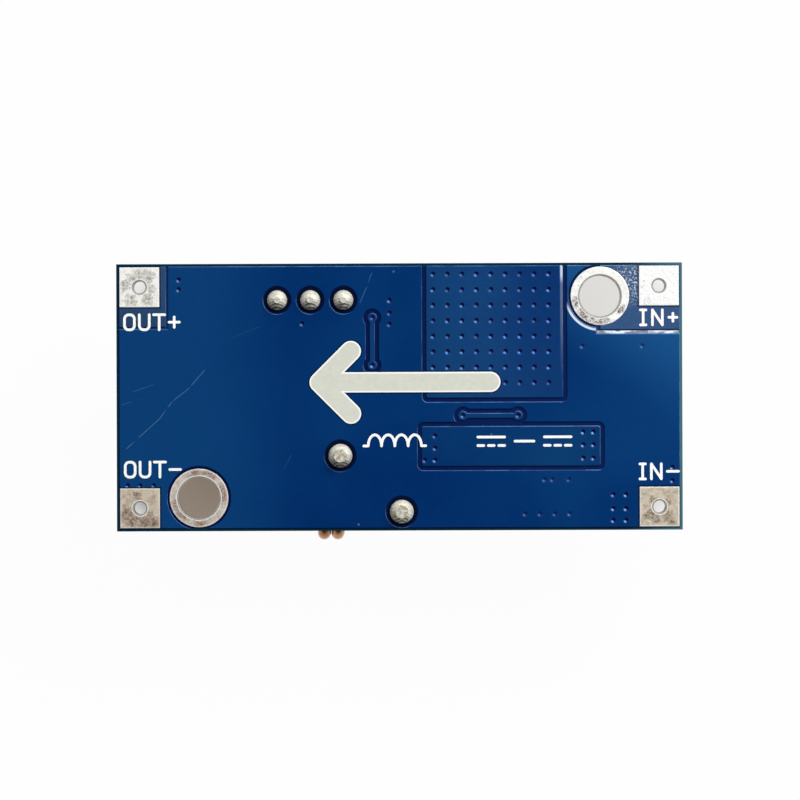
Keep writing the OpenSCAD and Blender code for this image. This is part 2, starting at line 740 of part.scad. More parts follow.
// Tinned lands of the component side, each as its centre and size
function pair_lands(at, out, size) = [for (s = [-1, 1]) [at + s * out, size]];
tab_land = [tab_w + 0.6, tab_l + 0.6];
lead_land = [lead_w + 0.3, lead_foot + 0.5];
can_land = [foot_w + 0.6, can_span / 2 - foot_inner + 0.3];
diode_land = [diode_foot_l + 0.8, diode_foot_w + 0.3];
chip_land = [chip_end + 0.6, chip_w + 0.1];
lands = concat(
    [[regulator_at + [0, tab_from + tab_l / 2], tab_land]],
    [for (k = [-2:2]) [regulator_at + [k * lead_pitch, lead_foot / 2 - regulator_l / 2 - lead_reach],
        lead_land]],
    [for (at = [input_capacitor_at, output_capacitor_at])
        each pair_lands(at, [0, (can_span / 2 + foot_inner) / 2], can_land)],
    pair_lands(diode_at, [diode_l / 2, 0], diode_land),
    [for (at = [feedback_at, feedforward_at, output_chip_at])
        each pair_lands(at, [chip_l / 2, 0], chip_land)],
    [for (at = [input_chip_at, compensation_at])
        each pair_lands(at, [0, chip_l / 2], [chip_land.y, chip_land.x])],
    [for (at = terminals) [at, [terminal_pad, terminal_pad]]]);
// Round ones as centre, radius and hole, and the terminals' holes, which have square lands
round_lands = concat(
    [for (k = [-1:1]) [trimmer_at + [k * pin_pitch, 0], trimmer_joint_r, pin_d + 2 * hole_gap]],
    [for (at = [winding_start, winding_end]) [at, inductor_joint_r, wire_d + 2 * hole_gap]],
    [for (at = [mount_in, mount_out]) [at, mount_ring_d / 2, mount_hole_d]],
    [for (at = terminals) [at, terminal_pad / 2, terminal_hole_d]]);

module land_outlines() {
    for (land = lands) translate(land[0]) square(land[1], center = true);
    for (land = round_lands) translate(land[0]) circle(land[1]);
}

module component_copper() {
    color("#0b3f7c") under_board() mirror([0, 0, 1]) linear_extrude(foil_t) difference() {
        square([board_l, board_w] - 2 * [copper_setback, copper_setback], center = true);
        land_outlines();
    }
}

module component_lands() {
    color("#c9c6bd") under_board() mirror([0, 0, 1]) linear_extrude(foil_t) difference() {
        land_outlines();
        for (land = round_lands) translate(land[0]) circle(d = land[2]);
    }
}

// ---------- Solder joints ----------

// Dome on the solder side round a pin of diameter d, with the solder that fills its hole
module solder_joint(at, r, d) {
    rise = dome_h(r);
    ball_r = (r * r + rise * rise) / (2 * rise);
    color("#b9b7ae") over_board(at) difference() {
        union() {
            cylinder(r = r, h = foil_t);
            translate([0, 0, foil_t]) intersection() {
                translate([0, 0, rise - ball_r]) sphere(ball_r);
                cylinder(r = r + 1, h = rise);
            }
            translate([0, 0, -laminate_t - foil_t])
                cylinder(d = d + 2 * hole_gap, h = laminate_t + foil_t);
        }
        translate([0, 0, -laminate_t - 1]) cylinder(d = d, h = laminate_t + rise + 2);
    }
}

module trimmer_joint(k) solder_joint(trimmer_at + [k * pin_pitch, 0], trimmer_joint_r, pin_d);

module inductor_joint(at) solder_joint(at, inductor_joint_r, wire_d);

// ---------- Assembly ----------

circuit_board();
ground_copper();
switch_copper();
input_copper();
output_copper();
bridge_copper();
regulator_link();
trimmer_link();
component_copper();
component_lands();
terminal(1, 1);  // pad_in_positive
terminal(1, -1);  // pad_in_negative
terminal(-1, 1);  // pad_out_positive
terminal(-1, -1);  // pad_out_negative
mounting_ring(mount_in);  // mounting_ring_in
mounting_ring(mount_out);  // mounting_ring_out
printed_arrow();
trimmer_housing();
trimmer_potting();
trimmer_screw();
trimmer_pin(-1);  // trimmer_pin_1
trimmer_pin(0);  // trimmer_pin_2
trimmer_pin(1);  // trimmer_pin_3
inductor_core();
inductor_winding();
regulator_body();
regulator_tab();
regulator_lead(-2);  // regulator_lead_1
regulator_lead(-1);  // regulator_lead_2
regulator_lead(1);  // regulator_lead_4
regulator_lead(2);  // regulator_lead_5
capacitor_base(input_capacitor_at);  // input_capacitor_base
capacitor_can(input_capacitor_at);  // input_capacitor_can
capacitor_lead(input_capacitor_at, 1);  // input_capacitor_lead_positive
capacitor_lead(input_capacitor_at, -1);  // input_capacitor_lead_negative
capacitor_base(output_capacitor_at);  // output_capacitor_base
capacitor_can(output_capacitor_at);  // output_capacitor_can
capacitor_lead(output_capacitor_at, 1);  // output_capacitor_lead_positive
capacitor_lead(output_capacitor_at, -1);  // output_capacitor_lead_negative
diode_body();
diode_lead(-1);  // diode_lead_cathode
diode_lead(1);  // diode_lead_anode
chip_capacitor(input_chip_at, 90);  // input_chip_capacitor
chip_capacitor_ends(input_chip_at, 90);  // input_chip_capacitor_ends
chip_capacitor(output_chip_at);  // output_chip_capacitor
chip_capacitor_ends(output_chip_at);  // output_chip_capacitor_ends
chip_capacitor(compensation_at, 90);  // compensation_capacitor
chip_capacitor_ends(compensation_at, 90);  // compensation_capacitor_ends
chip_capacitor(feedforward_at);  // feedforward_capacitor
chip_capacitor_ends(feedforward_at);  // feedforward_capacitor_ends
feedback_resistor();
feedback_resistor_ends();
trimmer_joint(-1);  // trimmer_joint_1
trimmer_joint(0);  // trimmer_joint_2
trimmer_joint(1);  // trimmer_joint_3
inductor_joint(winding_start);  // inductor_joint_inner
inductor_joint(winding_end);  // inductor_joint_outer
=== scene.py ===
import math

import bmesh
import bpy
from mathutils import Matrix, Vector


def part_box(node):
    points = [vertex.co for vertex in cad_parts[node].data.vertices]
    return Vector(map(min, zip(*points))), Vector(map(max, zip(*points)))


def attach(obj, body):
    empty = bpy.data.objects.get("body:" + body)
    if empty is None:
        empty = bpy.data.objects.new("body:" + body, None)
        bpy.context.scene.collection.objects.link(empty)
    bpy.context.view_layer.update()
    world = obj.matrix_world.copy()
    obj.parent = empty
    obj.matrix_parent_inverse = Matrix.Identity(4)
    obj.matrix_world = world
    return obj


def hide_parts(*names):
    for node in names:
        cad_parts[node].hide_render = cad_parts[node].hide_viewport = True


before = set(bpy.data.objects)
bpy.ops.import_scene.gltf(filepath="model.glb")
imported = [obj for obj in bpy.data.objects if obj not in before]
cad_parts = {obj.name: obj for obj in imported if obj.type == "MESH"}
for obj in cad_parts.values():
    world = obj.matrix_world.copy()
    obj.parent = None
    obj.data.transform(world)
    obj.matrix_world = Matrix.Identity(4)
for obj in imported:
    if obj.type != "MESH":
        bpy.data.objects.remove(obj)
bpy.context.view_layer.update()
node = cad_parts
mm = 0.001

# ----------------------------------------
# Laminate: woven glass cloth in epoxy resin, pressed 1.6 mm thick with its foils and sawn out.
# Where the foil is etched away, solder mask lies on the resin and looks almost navy.
# The sawn edges show the resin itself, greenish and slightly layered.


def put(tree, kind, settings=None, **inputs):
    """Adds a node. Inputs go by name, or as i0, i1 by place; a socket is linked and a value set."""
    made = tree.nodes.new("ShaderNode" + kind)
    for key, value in (settings or {}).items():
        setattr(made, key, value)
    for key, value in inputs.items():
        by_place = key[0] == "i" and key[1:].isdigit()
        socket = made.inputs[int(key[1:])] if by_place else made.inputs[key.replace("_", " ")]
        if isinstance(value, bpy.types.NodeSocket):
            tree.links.new(value, socket)
        else:
            socket.default_value = value
    return made


def tree_of(*values):
    """The node tree of the first map among some values."""
    return next(value.id_data for value in values if isinstance(value, bpy.types.NodeSocket))


def calc(operation, a, b=0.0, clamp=False):
    settings = {"operation": operation, "use_clamp": clamp}
    return put(tree_of(a, b), "Math", settings, i0=a, i1=b).outputs[0]


def times(a, b):
    return calc("MULTIPLY", a, b)


def apart(a, b):
    """How far apart two values are, whichever is larger."""
    return calc("ABSOLUTE", calc("SUBTRACT", a, b))


def vector(operation, a, b=(0, 0, 0), value=False):
    made = put(tree_of(a, b), "VectorMath", {"operation": operation}, i0=a, i1=b)
    return made.outputs["Value" if value else "Vector"]


def length(run):
    return vector("LENGTH", run, value=True)


def level_run(where, place):
    """The way from a place to a point, with its height left out."""
    return vector("MULTIPLY", vector("SUBTRACT", where, tuple(place)), (1, 1, 0))


def rise(value, low, high, bottom=0.0, top=1.0):
    """A smooth step from bottom to top as value goes from low to high."""
    settings = {"interpolation_type": "SMOOTHSTEP"}
    return put(value.id_data, "MapRange", settings, i0=value, i1=low, i2=high, i3=bottom, i4=top).outputs[0]


def fall(value, low, high, top=1.0):
    """A smooth step from top down to nothing as value goes from low to high."""
    return rise(value, low, high, top, 0.0)


def shade(mask, under, over):
    """One colour where the mask is 0, the other where it is 1."""
    settings = {"data_type": "RGBA", "clamp_factor": True}
    return put(tree_of(mask, under, over), "Mix", settings, i0=mask, i6=under, i7=over).outputs[2]


def noise(where, scale, detail=3.0, roughness=0.5):
    made = put(where.id_data, "TexNoise", Vector=where, Scale=scale, Detail=detail, Roughness=roughness)
    return made.outputs["Fac"]


def millimetres(tree):
    """The place on the part, in millimetres of its own frame."""
    where = put(tree, "TexCoord").outputs["Object"]
    return put(tree, "VectorMath", {"operation": "SCALE"}, i0=where, Scale=1000.0).outputs["Vector"]


def parts_of(where):
    return put(where.id_data, "SeparateXYZ", Vector=where).outputs


def tones(grain, dark, light):
    """Two tones of one colour, each written as 0 to 255 on screen, mixed by a grain."""
    return shade(rise(grain, 0.35, 0.7), rgb(*dark), rgb(*light))


def gloss(grain, smooth, rough):
    """A roughness that goes with the grain from smooth to rough."""
    return rise(grain, 0.3, 0.7, smooth, rough)


def facing_z(tree):
    """How far the surface faces up, from 1 on top to -1 underneath."""
    return parts_of(put(tree, "NewGeometry").outputs["Normal"])["Z"]


def corners(name):
    """A CAD node's lowest and highest corner, in millimetres."""
    return [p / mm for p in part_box(name)]


def centre_of(name):
    """The middle of a CAD node's box, in millimetres."""
    low, high = corners(name)
    return (low + high) / 2


def rgb(*screen):
    """A colour written as 0 to 255 on screen, as the shader's linear colour."""
    linear = [c / 255 / 12.92 if c <= 10 else ((c / 255 + 0.055) / 1.055) ** 2.4 for c in screen]
    return (*linear, 1.0)


def finish(name, **plain):
    """A new material: its tree and its Principled shader, with the plain values set on the shader."""
    made = bpy.data.materials.new(name)
    made.use_nodes = True
    shader = made.node_tree.nodes["Principled BSDF"]
    for key, value in plain.items():
        shader.inputs[key.replace("_", " ")].default_value = value
    return made, made.node_tree, shader


def rounded(tree, radius):
    """The surface's normal, with corners shaded as if rounded to a radius in millimetres."""
    return put(tree, "Bevel", {"samples": 6}, Radius=radius * mm).outputs["Normal"]


def connect(shader, colour, roughness, height, deep=1.0, corner_r=None, normal=None, metallic=None):
    """Joins a finish's maps to its shader. Bumps are as deep as the height times deep, in millimetres."""
    tree = shader.id_data
    if corner_r:
        normal = rounded(tree, corner_r)
    tree.links.new(colour, shader.inputs["Base Color"])
    tree.links.new(roughness, shader.inputs["Roughness"])
    if metallic is not None:
        tree.links.new(metallic, shader.inputs["Metallic"])
    bump = put(tree, "Bump", Strength=1.0, Distance=deep * mm, Height=height)
    if normal is not None:
        tree.links.new(normal, bump.inputs["Normal"])
    tree.links.new(bump.outputs["Normal"], shader.inputs["Normal"])


def dress(names, material):
    """Gives CAD nodes one finish. The part's shape stays as it is."""
    for name in [names] if isinstance(names, str) else names:
        piece = node[name]
        if not piece.material_slots:
            piece.data.materials.append(material)
        for slot in piece.material_slots:
            slot.material = material


laminate, tree, shader = finish("laminate", Specular_IOR_Level=0.2)
where = millimetres(tree)
flat = rise(calc("ABSOLUTE", facing_z(tree)), 0.5, 0.8)
weave = noise(vector("MULTIPLY", where, (1, 1, 9)), 1.4, 4.0)
edge_colour = shade(weave, rgb(14, 44, 52), rgb(58, 92, 88))
low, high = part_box("circuit_board")
board_centre = (low + high) / 2 / mm
board_l, board_w = ((high - low) / mm)[:2]
x, y, _ = parts_of(vector("SUBTRACT", where, tuple(board_centre)))
channel_colour = shade(rise(x, -12.0, 14.0), rgb(2, 20, 66), rgb(8, 32, 82))
# Bare resin shows as a thin teal border, paler to the right
off_end, off_side = (calc("SUBTRACT", half, calc("ABSOLUTE", place))
                     for half, place in ((board_l / 2, x), (board_w / 2, y)))
off_edge = calc("MINIMUM", off_end, off_side)
teal = shade(rise(x, 17.0, 21.7), rgb(6, 42, 62), rgb(66, 108, 118))
face_colour = shade(fall(off_edge, 0.25, 0.35), channel_colour, teal)
# The channels beside the output and input coppers are painted paler, a painted reflection off the foil's
# raised edge
for name, way, reflected_tone in (("output_copper", 1, rgb(22, 62, 108)), ("input_copper", -1, rgb(28, 58, 106))):
    low, high = (p - board_centre for p in corners(name))
    inner_side = high.x if way == 1 else -low.x
    near = fall(times(x, way), inner_side + 0.3, inner_side + 0.5)
    near = times(near, rise(y, low.y - 0.6, low.y - 0.5))
    near = times(near, rise(off_edge, 0.25, 0.35, 0.0, 0.8))
    face_colour = shade(near, face_colour, reflected_tone)
# A streak of the lamp lies in the coat along the input copper's near side
streak = noise(vector("MULTIPLY", where, (1, 3, 0)), 1.1, 3.0, 0.6)
streak = rise(streak, 0.42, 0.6, 0.25, 1.0)
streak = times(streak, rise(x, high.x - 6.45, high.x - 6.25))
streak = times(streak, rise(off_edge, 0.2, 0.3))
streak = times(streak, fall(apart(y, low.y - 0.17), 0.07, 0.15))
face_colour = shade(streak, face_colour, rgb(232, 242, 250))
# It is nearly black in the bare rings round the solder joints
joints = ["trimmer_joint_1", "trimmer_joint_2", "trimmer_joint_3",
          "inductor_joint_inner", "inductor_joint_outer"]
for name in joints:
    low, high = corners(name)
    joint_r = (high.x - low.x) / 2
    from_joint = length(level_run(where, centre_of(name)))
    bare = fall(from_joint, joint_r + 0.12, joint_r + 0.32, 0.95)
    face_colour = shade(bare, face_colour, rgb(4, 12, 32))
connect(shader, shade(flat, edge_colour, face_colour), rise(flat, 0, 1, 0.62, 0.18), weave, 0.02)
dress("circuit_board", laminate)

# ----------------------------------------
# Masked copper: etched foil under glossy deep blue solder mask, which is printed wet and cured.
# The mask has an orange-peel surface, is a little lighter where it is thin, and is scratched.


def effect(name, takes, gives):
    """A new node group, and what it is given and makes. Its sockets are named by kind."""
    group = bpy.data.node_groups.new(name, "ShaderNodeTree")
    for way, sockets in (("INPUT", takes), ("OUTPUT", gives)):
        for kind, names in sockets.items():
            for socket in names:
                group.interface.new_socket(socket, in_out=way, socket_type="NodeSocket" + kind)
    return group, group.nodes.new("NodeGroupInput").outputs, group.nodes.new("NodeGroupOutput").inputs


surface_maps = {"Color": ["Color"], "Float": ["Roughness", "Height"]}
# What all the masked areas share: a cloudy tint, fine grain, specks of dust and orange peel
tree, given, made = effect("mask_film", {"Color": ["Tint", "Light"]}, surface_maps)
where = millimetres(tree)
cloud = noise(where, 0.07, 2.0)
grain = noise(where, 2.6, 4.0, 0.6)
toned = shade(rise(cloud, 0.35, 0.68), given["Tint"], given["Light"])
toned = shade(rise(grain, 0.42, 0.75, 0.0, 0.16), toned, given["Light"])
dust = put(tree, "TexVoronoi", Vector=where, Scale=0.42)
some = calc("GREATER_THAN", parts_of(dust.outputs["Color"])["X"], 0.8)
speck = times(some, fall(dust.outputs["Distance"], 0.02, 0.05, 0.55))
toned = shade(speck, toned, rgb(96, 132, 172))
tree.links.new(toned, made["Color"])
tree.links.new(gloss(grain, 0.1, 0.17), made["Roughness"])
peel = calc("ADD", times(noise(where, 1.3, 2.0), 0.006), times(grain, 0.0015))
tree.links.new(peel, made["Height"])
mask_film = tree

# How far a place is from a straight line, both at one level
tree, given, made = effect("line_distance", {"Vector": ["Place", "Start", "End"]}, {"Float": ["Distance"]})
level = vector("MULTIPLY", given["Place"], (1, 1, 0))
run = vector("SUBTRACT", given["End"], given["Start"])
away = vector("SUBTRACT", level, given["Start"])
share = vector("DOT_PRODUCT", away, run, True)
share = calc("DIVIDE", share, vector("DOT_PRODUCT", run, run, True), clamp=True)
along = put(tree, "VectorMath", {"operation": "SCALE"}, i0=run, Scale=share).outputs["Vector"]
beside = vector("SUBTRACT", away, along)
tree.links.new(length(beside), made["Distance"])
line_distance = tree


def grouped(tree, group, **inputs):
    """Places a group in a tree, with its own maps and values."""
    made = tree.nodes.new("ShaderNodeGroup")
    made.node_tree = group
    for key, value in inputs.items():
        if isinstance(value, bpy.types.NodeSocket):
            tree.links.new(value, made.inputs[key])
        else:
            made.inputs[key].default_value = value
    return made.outputs


def off_lines(where, points):
    """Distance, in millimetres, to a line through points of the board's plane."""
    nearest = None
    for start, end in zip(points, points[1:]):
        one = grouped(where.id_data, line_distance, Place=where, Start=(*start, 0), End=(*end, 0))["Distance"]
        nearest = one if nearest is None else calc("MINIMUM", nearest, one)
    return nearest


def on_board(x, y):
    """A point given from the board's middle, in the part's frame, in millimetres."""
    return (board_centre.x + x, board_centre.y + y)


low, high = corners("pad_in_positive")
pad_half = (high.x - low.x) / 2
pad_centre = (low + high) / 2 - board_centre

# Each area: its tint, and the lighter tone of its thin places
areas = {
    "ground_copper": ((0, 42, 98), (5, 54, 108)),
    "component_copper": ((4, 45, 100), (12, 60, 112)),
    "switch_copper": ((8, 50, 104), (20, 66, 116)),
    "input_copper": ((52, 82, 124), (82, 110, 146)),
    "output_copper": ((34, 63, 101), (58, 84, 114)),
    "bridge_copper": ((1, 44, 98), (10, 58, 108)),
    "regulator_link": ((1, 44, 98), (14, 62, 114)),
    "trimmer_link": ((1, 44, 98), (14, 62, 114)),
}
# Each scratch: its points from the board's middle, its width and its strength. The last is no scratch but a
# tiny bright dot, a painted glint
scratches_and_glint = [
    ([(-20.95, -3.9), (-18.4, -1.6), (-17.4, -0.25), (-16.2, 0.65), (-14.9, 2.15)], 0.02, 0.3),
    ([(-21.3, -0.55), (-19.6, 0.0)], 0.015, 0.2),
    ([(-20.6, 0.4), (-18.9, 1.0)], 0.015, 0.18),
    ([(-3.0, 7.25), (-2.55, 8.3), (-2.1, 9.5)], 0.02, 0.22),
    ([(-9.1, -5.9), (-8.3, -4.4)], 0.015, 0.1),
    ([(-13.4, 4.3), (-11.6, 5.1), (-10.4, 5.5)], 0.015, 0.1),
    ([(-3.2, -9.76), (-3.17, -9.78)], 0.045, 0.9),
]
# The printed arrow's stroke: half its width, its tip, its barbs' reach and its tail
low, high = corners("printed_arrow")
stroke_half = 0.78
ink_level = high.z
tip = (low.x + stroke_half, (low.y + high.y) / 2)
barb = (high.y - low.y) / 2 - stroke_half
tail = (high.x - stroke_half, tip[1])
arrow_lines = [[tail, tip]] + [[tip, (tip[0] + barb, tip[1] + side * barb)] for side in (-1, 1)]


def off_arrow(where):
    """Distance to the middle of the arrow's stroke."""
    nearest = off_lines(where, arrow_lines[0])
    for line in arrow_lines[1:]:
        nearest = calc("MINIMUM", nearest, off_lines(where, line))
    return nearest


# The gap in the foil round each screw's ring, from the hole's middle
gap_r = 2.6
for name, (tint, light) in areas.items():
    mask, tree, shader = finish("mask_" + name)
    film = grouped(tree, mask_film, Tint=rgb(*tint), Light=rgb(*light))
    colour = film["Color"]
    where = millimetres(tree)
    x, y, _ = parts_of(where)
    if name == "ground_copper":
        # The coat is greener to the left and to the right, and paler toward the far right corner, which is
        # painted sheen from the lamp's side
        colour = shade(fall(x, -16.0, -6.0, 0.8), colour, rgb(11, 62, 114))
        greener_right = times(rise(x, 9.0, 20.0, 0.0, 0.6), rise(y, -9.0, -3.0, 0.1, 1.0))
        colour = shade(greener_right, colour, rgb(12, 62, 118))
        lamp_side = calc("ADD", x, times(y, 1.5))
        colour = shade(rise(lamp_side, 17.0, 30.0, 0.0, 0.9), colour, rgb(24, 80, 134))
        # Scratches, and one painted glint, lighten the coat
        for points, wide, strong in scratches_and_glint:
            far = off_lines(where, [on_board(*p) for p in points])
            broken = rise(noise(where, 1.6), 0.35, 0.55)
            broken = times(fall(far, wide, 2 * wide, strong), broken)
            colour = shade(broken, colour, rgb(112, 156, 190))
    if name == "input_copper":
        # Crazed between the ring and the terminal, where it was soldered hot; the white of the wrinkles is a
        # painted glint
        crazing_glints = rise(noise(where, 6.0, 5.0, 0.8), 0.5, 0.62)
        hot_spot = (*on_board(17.75, 8.8), ink_level)
        hot = fall(length(vector("SUBTRACT", where, hot_spot)), 0.6, 2.2)
        colour = shade(times(hot, crazing_glints), colour, rgb(226, 236, 240))
    if name == "switch_copper":
        # Speckled over the rows of vias
        speckled = rise(noise(where, 3.2, 4.0, 0.75), 0.48, 0.66, 0.0, 0.4)
        over_vias = times(rise(x, 4.6, 5.0), fall(x, 13.2, 13.8))
        colour = shade(times(speckled, over_vias), colour, rgb(28, 40, 116))
    # Painted light and shade on the rounded edges of the foil and of the dimples over the vias: a painted
    # highlight where they face the lamp toward +X and +Y, painted shade where tilted and where facing away
    soft = rounded(tree, 0.12)
    facing = vector("DOT_PRODUCT", soft, (0.5, 0.75, 0.0), True)
    tilted = fall(parts_of(soft)["Z"], 0.93, 0.997, 0.8)
    edge_light_shade = shade(tilted, colour, rgb(5, 22, 80))
    edge_light_shade = shade(fall(facing, -0.28, -0.03, 0.85), edge_light_shade, rgb(2, 8, 58))
    uneven = rise(noise(where, 0.9, 1.0), 0.35, 0.62, 0.35, 0.95)
    edge_light_shade = shade(times(rise(facing, 0.18, 0.36), uneven), edge_light_shade, rgb(84, 136, 206))
    # Over two groups of dimples the painted edge light and shade, and the painted glint, are mostly left out
    painted_edge_share = 1.0
    for (left, right), (near_side, far_side) in (((8.4, 14.2), (-10.0, -5.3)), ((13.5, 19.0), (3.3, 4.4))):
        box = [fall(apart(place, (one + two) / 2), (two - one) / 2, (two - one) / 2 + 0.1)
               for place, one, two in ((x, left, right), (y, near_side, far_side))]
        left_out = times(times(*box), 0.7)
        painted_edge_share = times(painted_edge_share, calc("SUBTRACT", 1.0, left_out))
    colour = shade(painted_edge_share, colour, edge_light_shade)
    # A painted glint where the edges face the lamp most, stronger to the right
    glint = times(rise(facing, 0.36, 0.46), rise(x, 4.0, 15.5, 0.05, 0.3))
    glint = times(glint, painted_edge_share)
    if name == "switch_copper":
        # The lamp catches the island's far right edge
        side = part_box(name)[1] / mm
        line = fall(apart(x, side.x - 0.1), 0.03, 0.15)
        fade = calc("ADD", rise(y, side.y - 9.0, side.y - 1.6, 0.0, 0.15),
                    rise(y, side.y - 1.5, side.y - 0.6, 0.0, 0.6))
        glint = times(line, fade)
    if name == "ground_copper":
        # and the rim of the gap round the input end's ring
        from_ring = level_run(where, centre_of("mounting_ring_in"))
        line = fall(apart(length(from_ring), gap_r), 0.05, 0.12)
        lower_left = vector("DOT_PRODUCT", vector("NORMALIZE", from_ring), (-0.6, -0.8, 0), True)
        glint = calc("MAXIMUM", glint, times(line, rise(lower_left, 0.7, 0.95, 0.0, 0.9)))
    colour = shade(glint, colour, rgb(226, 238, 250))
    # The mask is drawn darker in a thin line round the pads, and is dark in the ink's shade beside the arrow
    from_centre = vector("ABSOLUTE", vector("SUBTRACT", where, tuple(board_centre)))
    from_pad = vector("ABSOLUTE", vector("SUBTRACT", from_centre, tuple(pad_centre)))
    dx, dy, _ = parts_of(from_pad)
    off_pad = calc("SUBTRACT", calc("MAXIMUM", dx, dy), pad_half)
    colour = shade(fall(off_pad, 0.06, 0.16, 0.8), colour, rgb(3, 14, 40))
    if name in ("ground_copper", "switch_copper", "trimmer_link"):
        beside = fall(off_arrow(where), stroke_half + 0.04, stroke_half + 0.16, 0.75)
        colour = shade(beside, colour, rgb(2, 14, 44))
    tree.links.new(rise(tilted, 0.0, 0.5, 0.3, 0.08), shader.inputs["Specular IOR Level"])
    rough = calc("ADD", film["Roughness"], times(tilted, 0.4))
    connect(shader, colour, rough, film["Height"], 1.0, normal=soft)
    dress(name, mask)

# ----------------------------------------
# Terminals, mounting rings and lands: copper dipped in molten tin and blown level with hot air.
# The old tin is dull and stained brown with flux; the input end's near-white tin is a painted reflection of
# the lamp.
# What all of them share: mottled tin, pooled stains, and a painted rim highlight along the edge and round the
# hole.
tree, given, made = effect("tarnished_tin", {"Color": ["Tin", "Stain"], "Float": ["Spread", "Rim", "Age"]},
                           surface_maps)
where = millimetres(tree)
patches = noise(where, 3.1, 5.0, 0.7)
pooled = calc("ADD", patches, given["Spread"])
fine = noise(where, 6.5, 4.0, 0.7)
stained = times(rise(pooled, 0.54, 0.72, 0.0, 0.95), rise(fine, 0.38, 0.6, 0.35, 1.0))
mottle = noise(where, 3.4, 4.0, 0.62)
tinned = times(rise(mottle, 0.4, 0.75, 0.0, 0.3), given["Age"])
tinned = shade(tinned, given["Tin"], (0.3, 0.26, 0.2, 1))
warm = noise(where, 1.7, 5.0, 0.7)
warm = times(rise(warm, 0.45, 0.65, 0.0, 0.35), given["Age"])
tinned = shade(warm, tinned, given["Stain"])
tinned = shade(stained, tinned, given["Stain"])
# Each stain dried to a dark outline
outline = fall(apart(pooled, 0.575), 0.0, 0.035, 0.65)
tinned = shade(outline, tinned, (0.1, 0.075, 0.055, 1))
# A painted highlight along the rim
tinned = shade(given["Rim"], tinned, (0.94, 0.94, 0.92, 1))
tree.links.new(tinned, made["Color"])
tree.links.new(rise(stained, 0, 1, 0.42, 0.6), made["Roughness"])
tree.links.new(times(calc("ADD", patches, mottle), 0.02), made["Height"])
tarnished_tin = tree

# Each land: its tin, its stain, how bright its painted rim highlight is, its age, its hole, and its blots as
# place and radius
terminal_r = 0.5
screw_hole_r = 1.6
# The input end's near-white tin, on its pad and ring, is a painted reflection of the lamp
tinned_lands = {
    "pad_in_positive": ((255, 255, 255), (228, 228, 224), 0.6, 0.2, terminal_r,
                        [(-0.9, -1.2, 0.35), (-1.25, 0.0, 0.2)]),
    "pad_in_negative": ((212, 200, 180), (112, 94, 66), 0.5, 1.0, terminal_r,
                        [(-0.75, -0.6, 0.6), (-0.35, -0.95, 0.5), (0.65, -0.7, 0.65), (-0.5, 0.55, 0.4),
                         (0.95, -1.15, 0.5), (0.6, 0.3, 0.4)]),
    "pad_out_positive": ((255, 254, 250), (150, 146, 134), 0.6, 0.5, terminal_r,
                         [(-1.05, 0.2, 0.6), (-0.6, 0.7, 0.5), (0.0, 0.95, 0.5), (0.7, 0.85, 0.65),
                          (0.9, -0.15, 0.5), (-0.7, -1.05, 0.65), (0.6, -0.95, 0.65)]),
    "pad_out_negative": ((212, 199, 178), (106, 78, 66), 0.3, 1.0, terminal_r,
                         [(-0.95, -0.55, 0.9), (-0.5, -0.95, 1.0), (0.3, -1.15, 0.8), (1.1, -1.15, 0.7),
                          (-0.3, 0.9, 0.5), (0.7, -0.5, 0.4)]),
    "mounting_ring_in": ((255, 255, 252), (74, 52, 46), 0.4, 0.3, screw_hole_r,
                         [(-1.35, -1.5, 0.9), (-0.7, -1.95, 0.9), (0.2, -2.0, 0.7), (1.6, -1.1, 0.5),
                          (-1.9, -0.5, 0.6)]),
    "mounting_ring_out": ((210, 202, 190), (132, 96, 80), 0.4, 1.0, screw_hole_r,
                          [(0.8, 1.75, 0.8), (-0.3, 1.95, 0.6), (1.75, 0.7, 0.7), (1.85, -0.1, 0.5),
                           (-1.85, -0.5, 0.7), (-1.3, -1.4, 0.7), (0.1, -2.0, 0.9)]),
}
for name, (tin, stain, rim_highlight_share, age, hole_r, blots) in tinned_lands.items():
    metal, tree, shader = finish("tin_" + name, Metallic=0.35, Specular_IOR_Level=0.5)
    low, high = corners(name)
    reach = (high.x - low.x) / 2
    away = level_run(millimetres(tree), centre_of(name))
    dx, dy, _ = parts_of(vector("ABSOLUTE", away))
    from_hole = length(away)
    out = calc("MAXIMUM", dx, dy) if name.startswith("pad") else from_hole
    # The painted rim highlight: along the land's edge and round the hole
    rim = calc("MAXIMUM", rise(out, reach - 0.16, reach - 0.07, 0.0, rim_highlight_share),
               fall(from_hole, hole_r + 0.12, hole_r + 0.18, 0.8))
    spread = -0.1
    for x, y, radius in blots:
        off_blot = length(vector("SUBTRACT", away, (x, y, 0)))
        spread = calc("MAXIMUM", spread, rise(off_blot, 0.0, 1.3 * radius, 0.26, -0.1))
    tin_maps = grouped(tree, tarnished_tin, Tin=rgb(*tin), Stain=rgb(*stain), Spread=spread, Rim=rim, Age=age)
    # Painted shade: a dark line round the hole's edge
    hole_edge_shade = fall(apart(from_hole, hole_r + 0.04), 0.02, 0.07, 0.7)
    colour = shade(hole_edge_shade, tin_maps["Color"], rgb(84, 74, 64))
    connect(shader, colour, tin_maps["Roughness"], tin_maps["Height"], 1.0, corner_r=0.08)
    dress(name, metal)


def plain_tin(name, metallic, tin, stain, spread):
    """Aged tin with no painted rim highlight: on the far side's lands and down the holes."""
    metal, tree, shader = finish(name, Metallic=metallic)
    maps = grouped(tree, tarnished_tin, Tin=tin, Stain=stain, Spread=spread, Rim=0.0, Age=1.0)
    connect(shader, maps["Color"], maps["Roughness"], maps["Height"])
    return metal


dress("component_lands", plain_tin("land_tin", 0.7, rgb(205, 203, 196), rgb(140, 120, 98), -0.12))

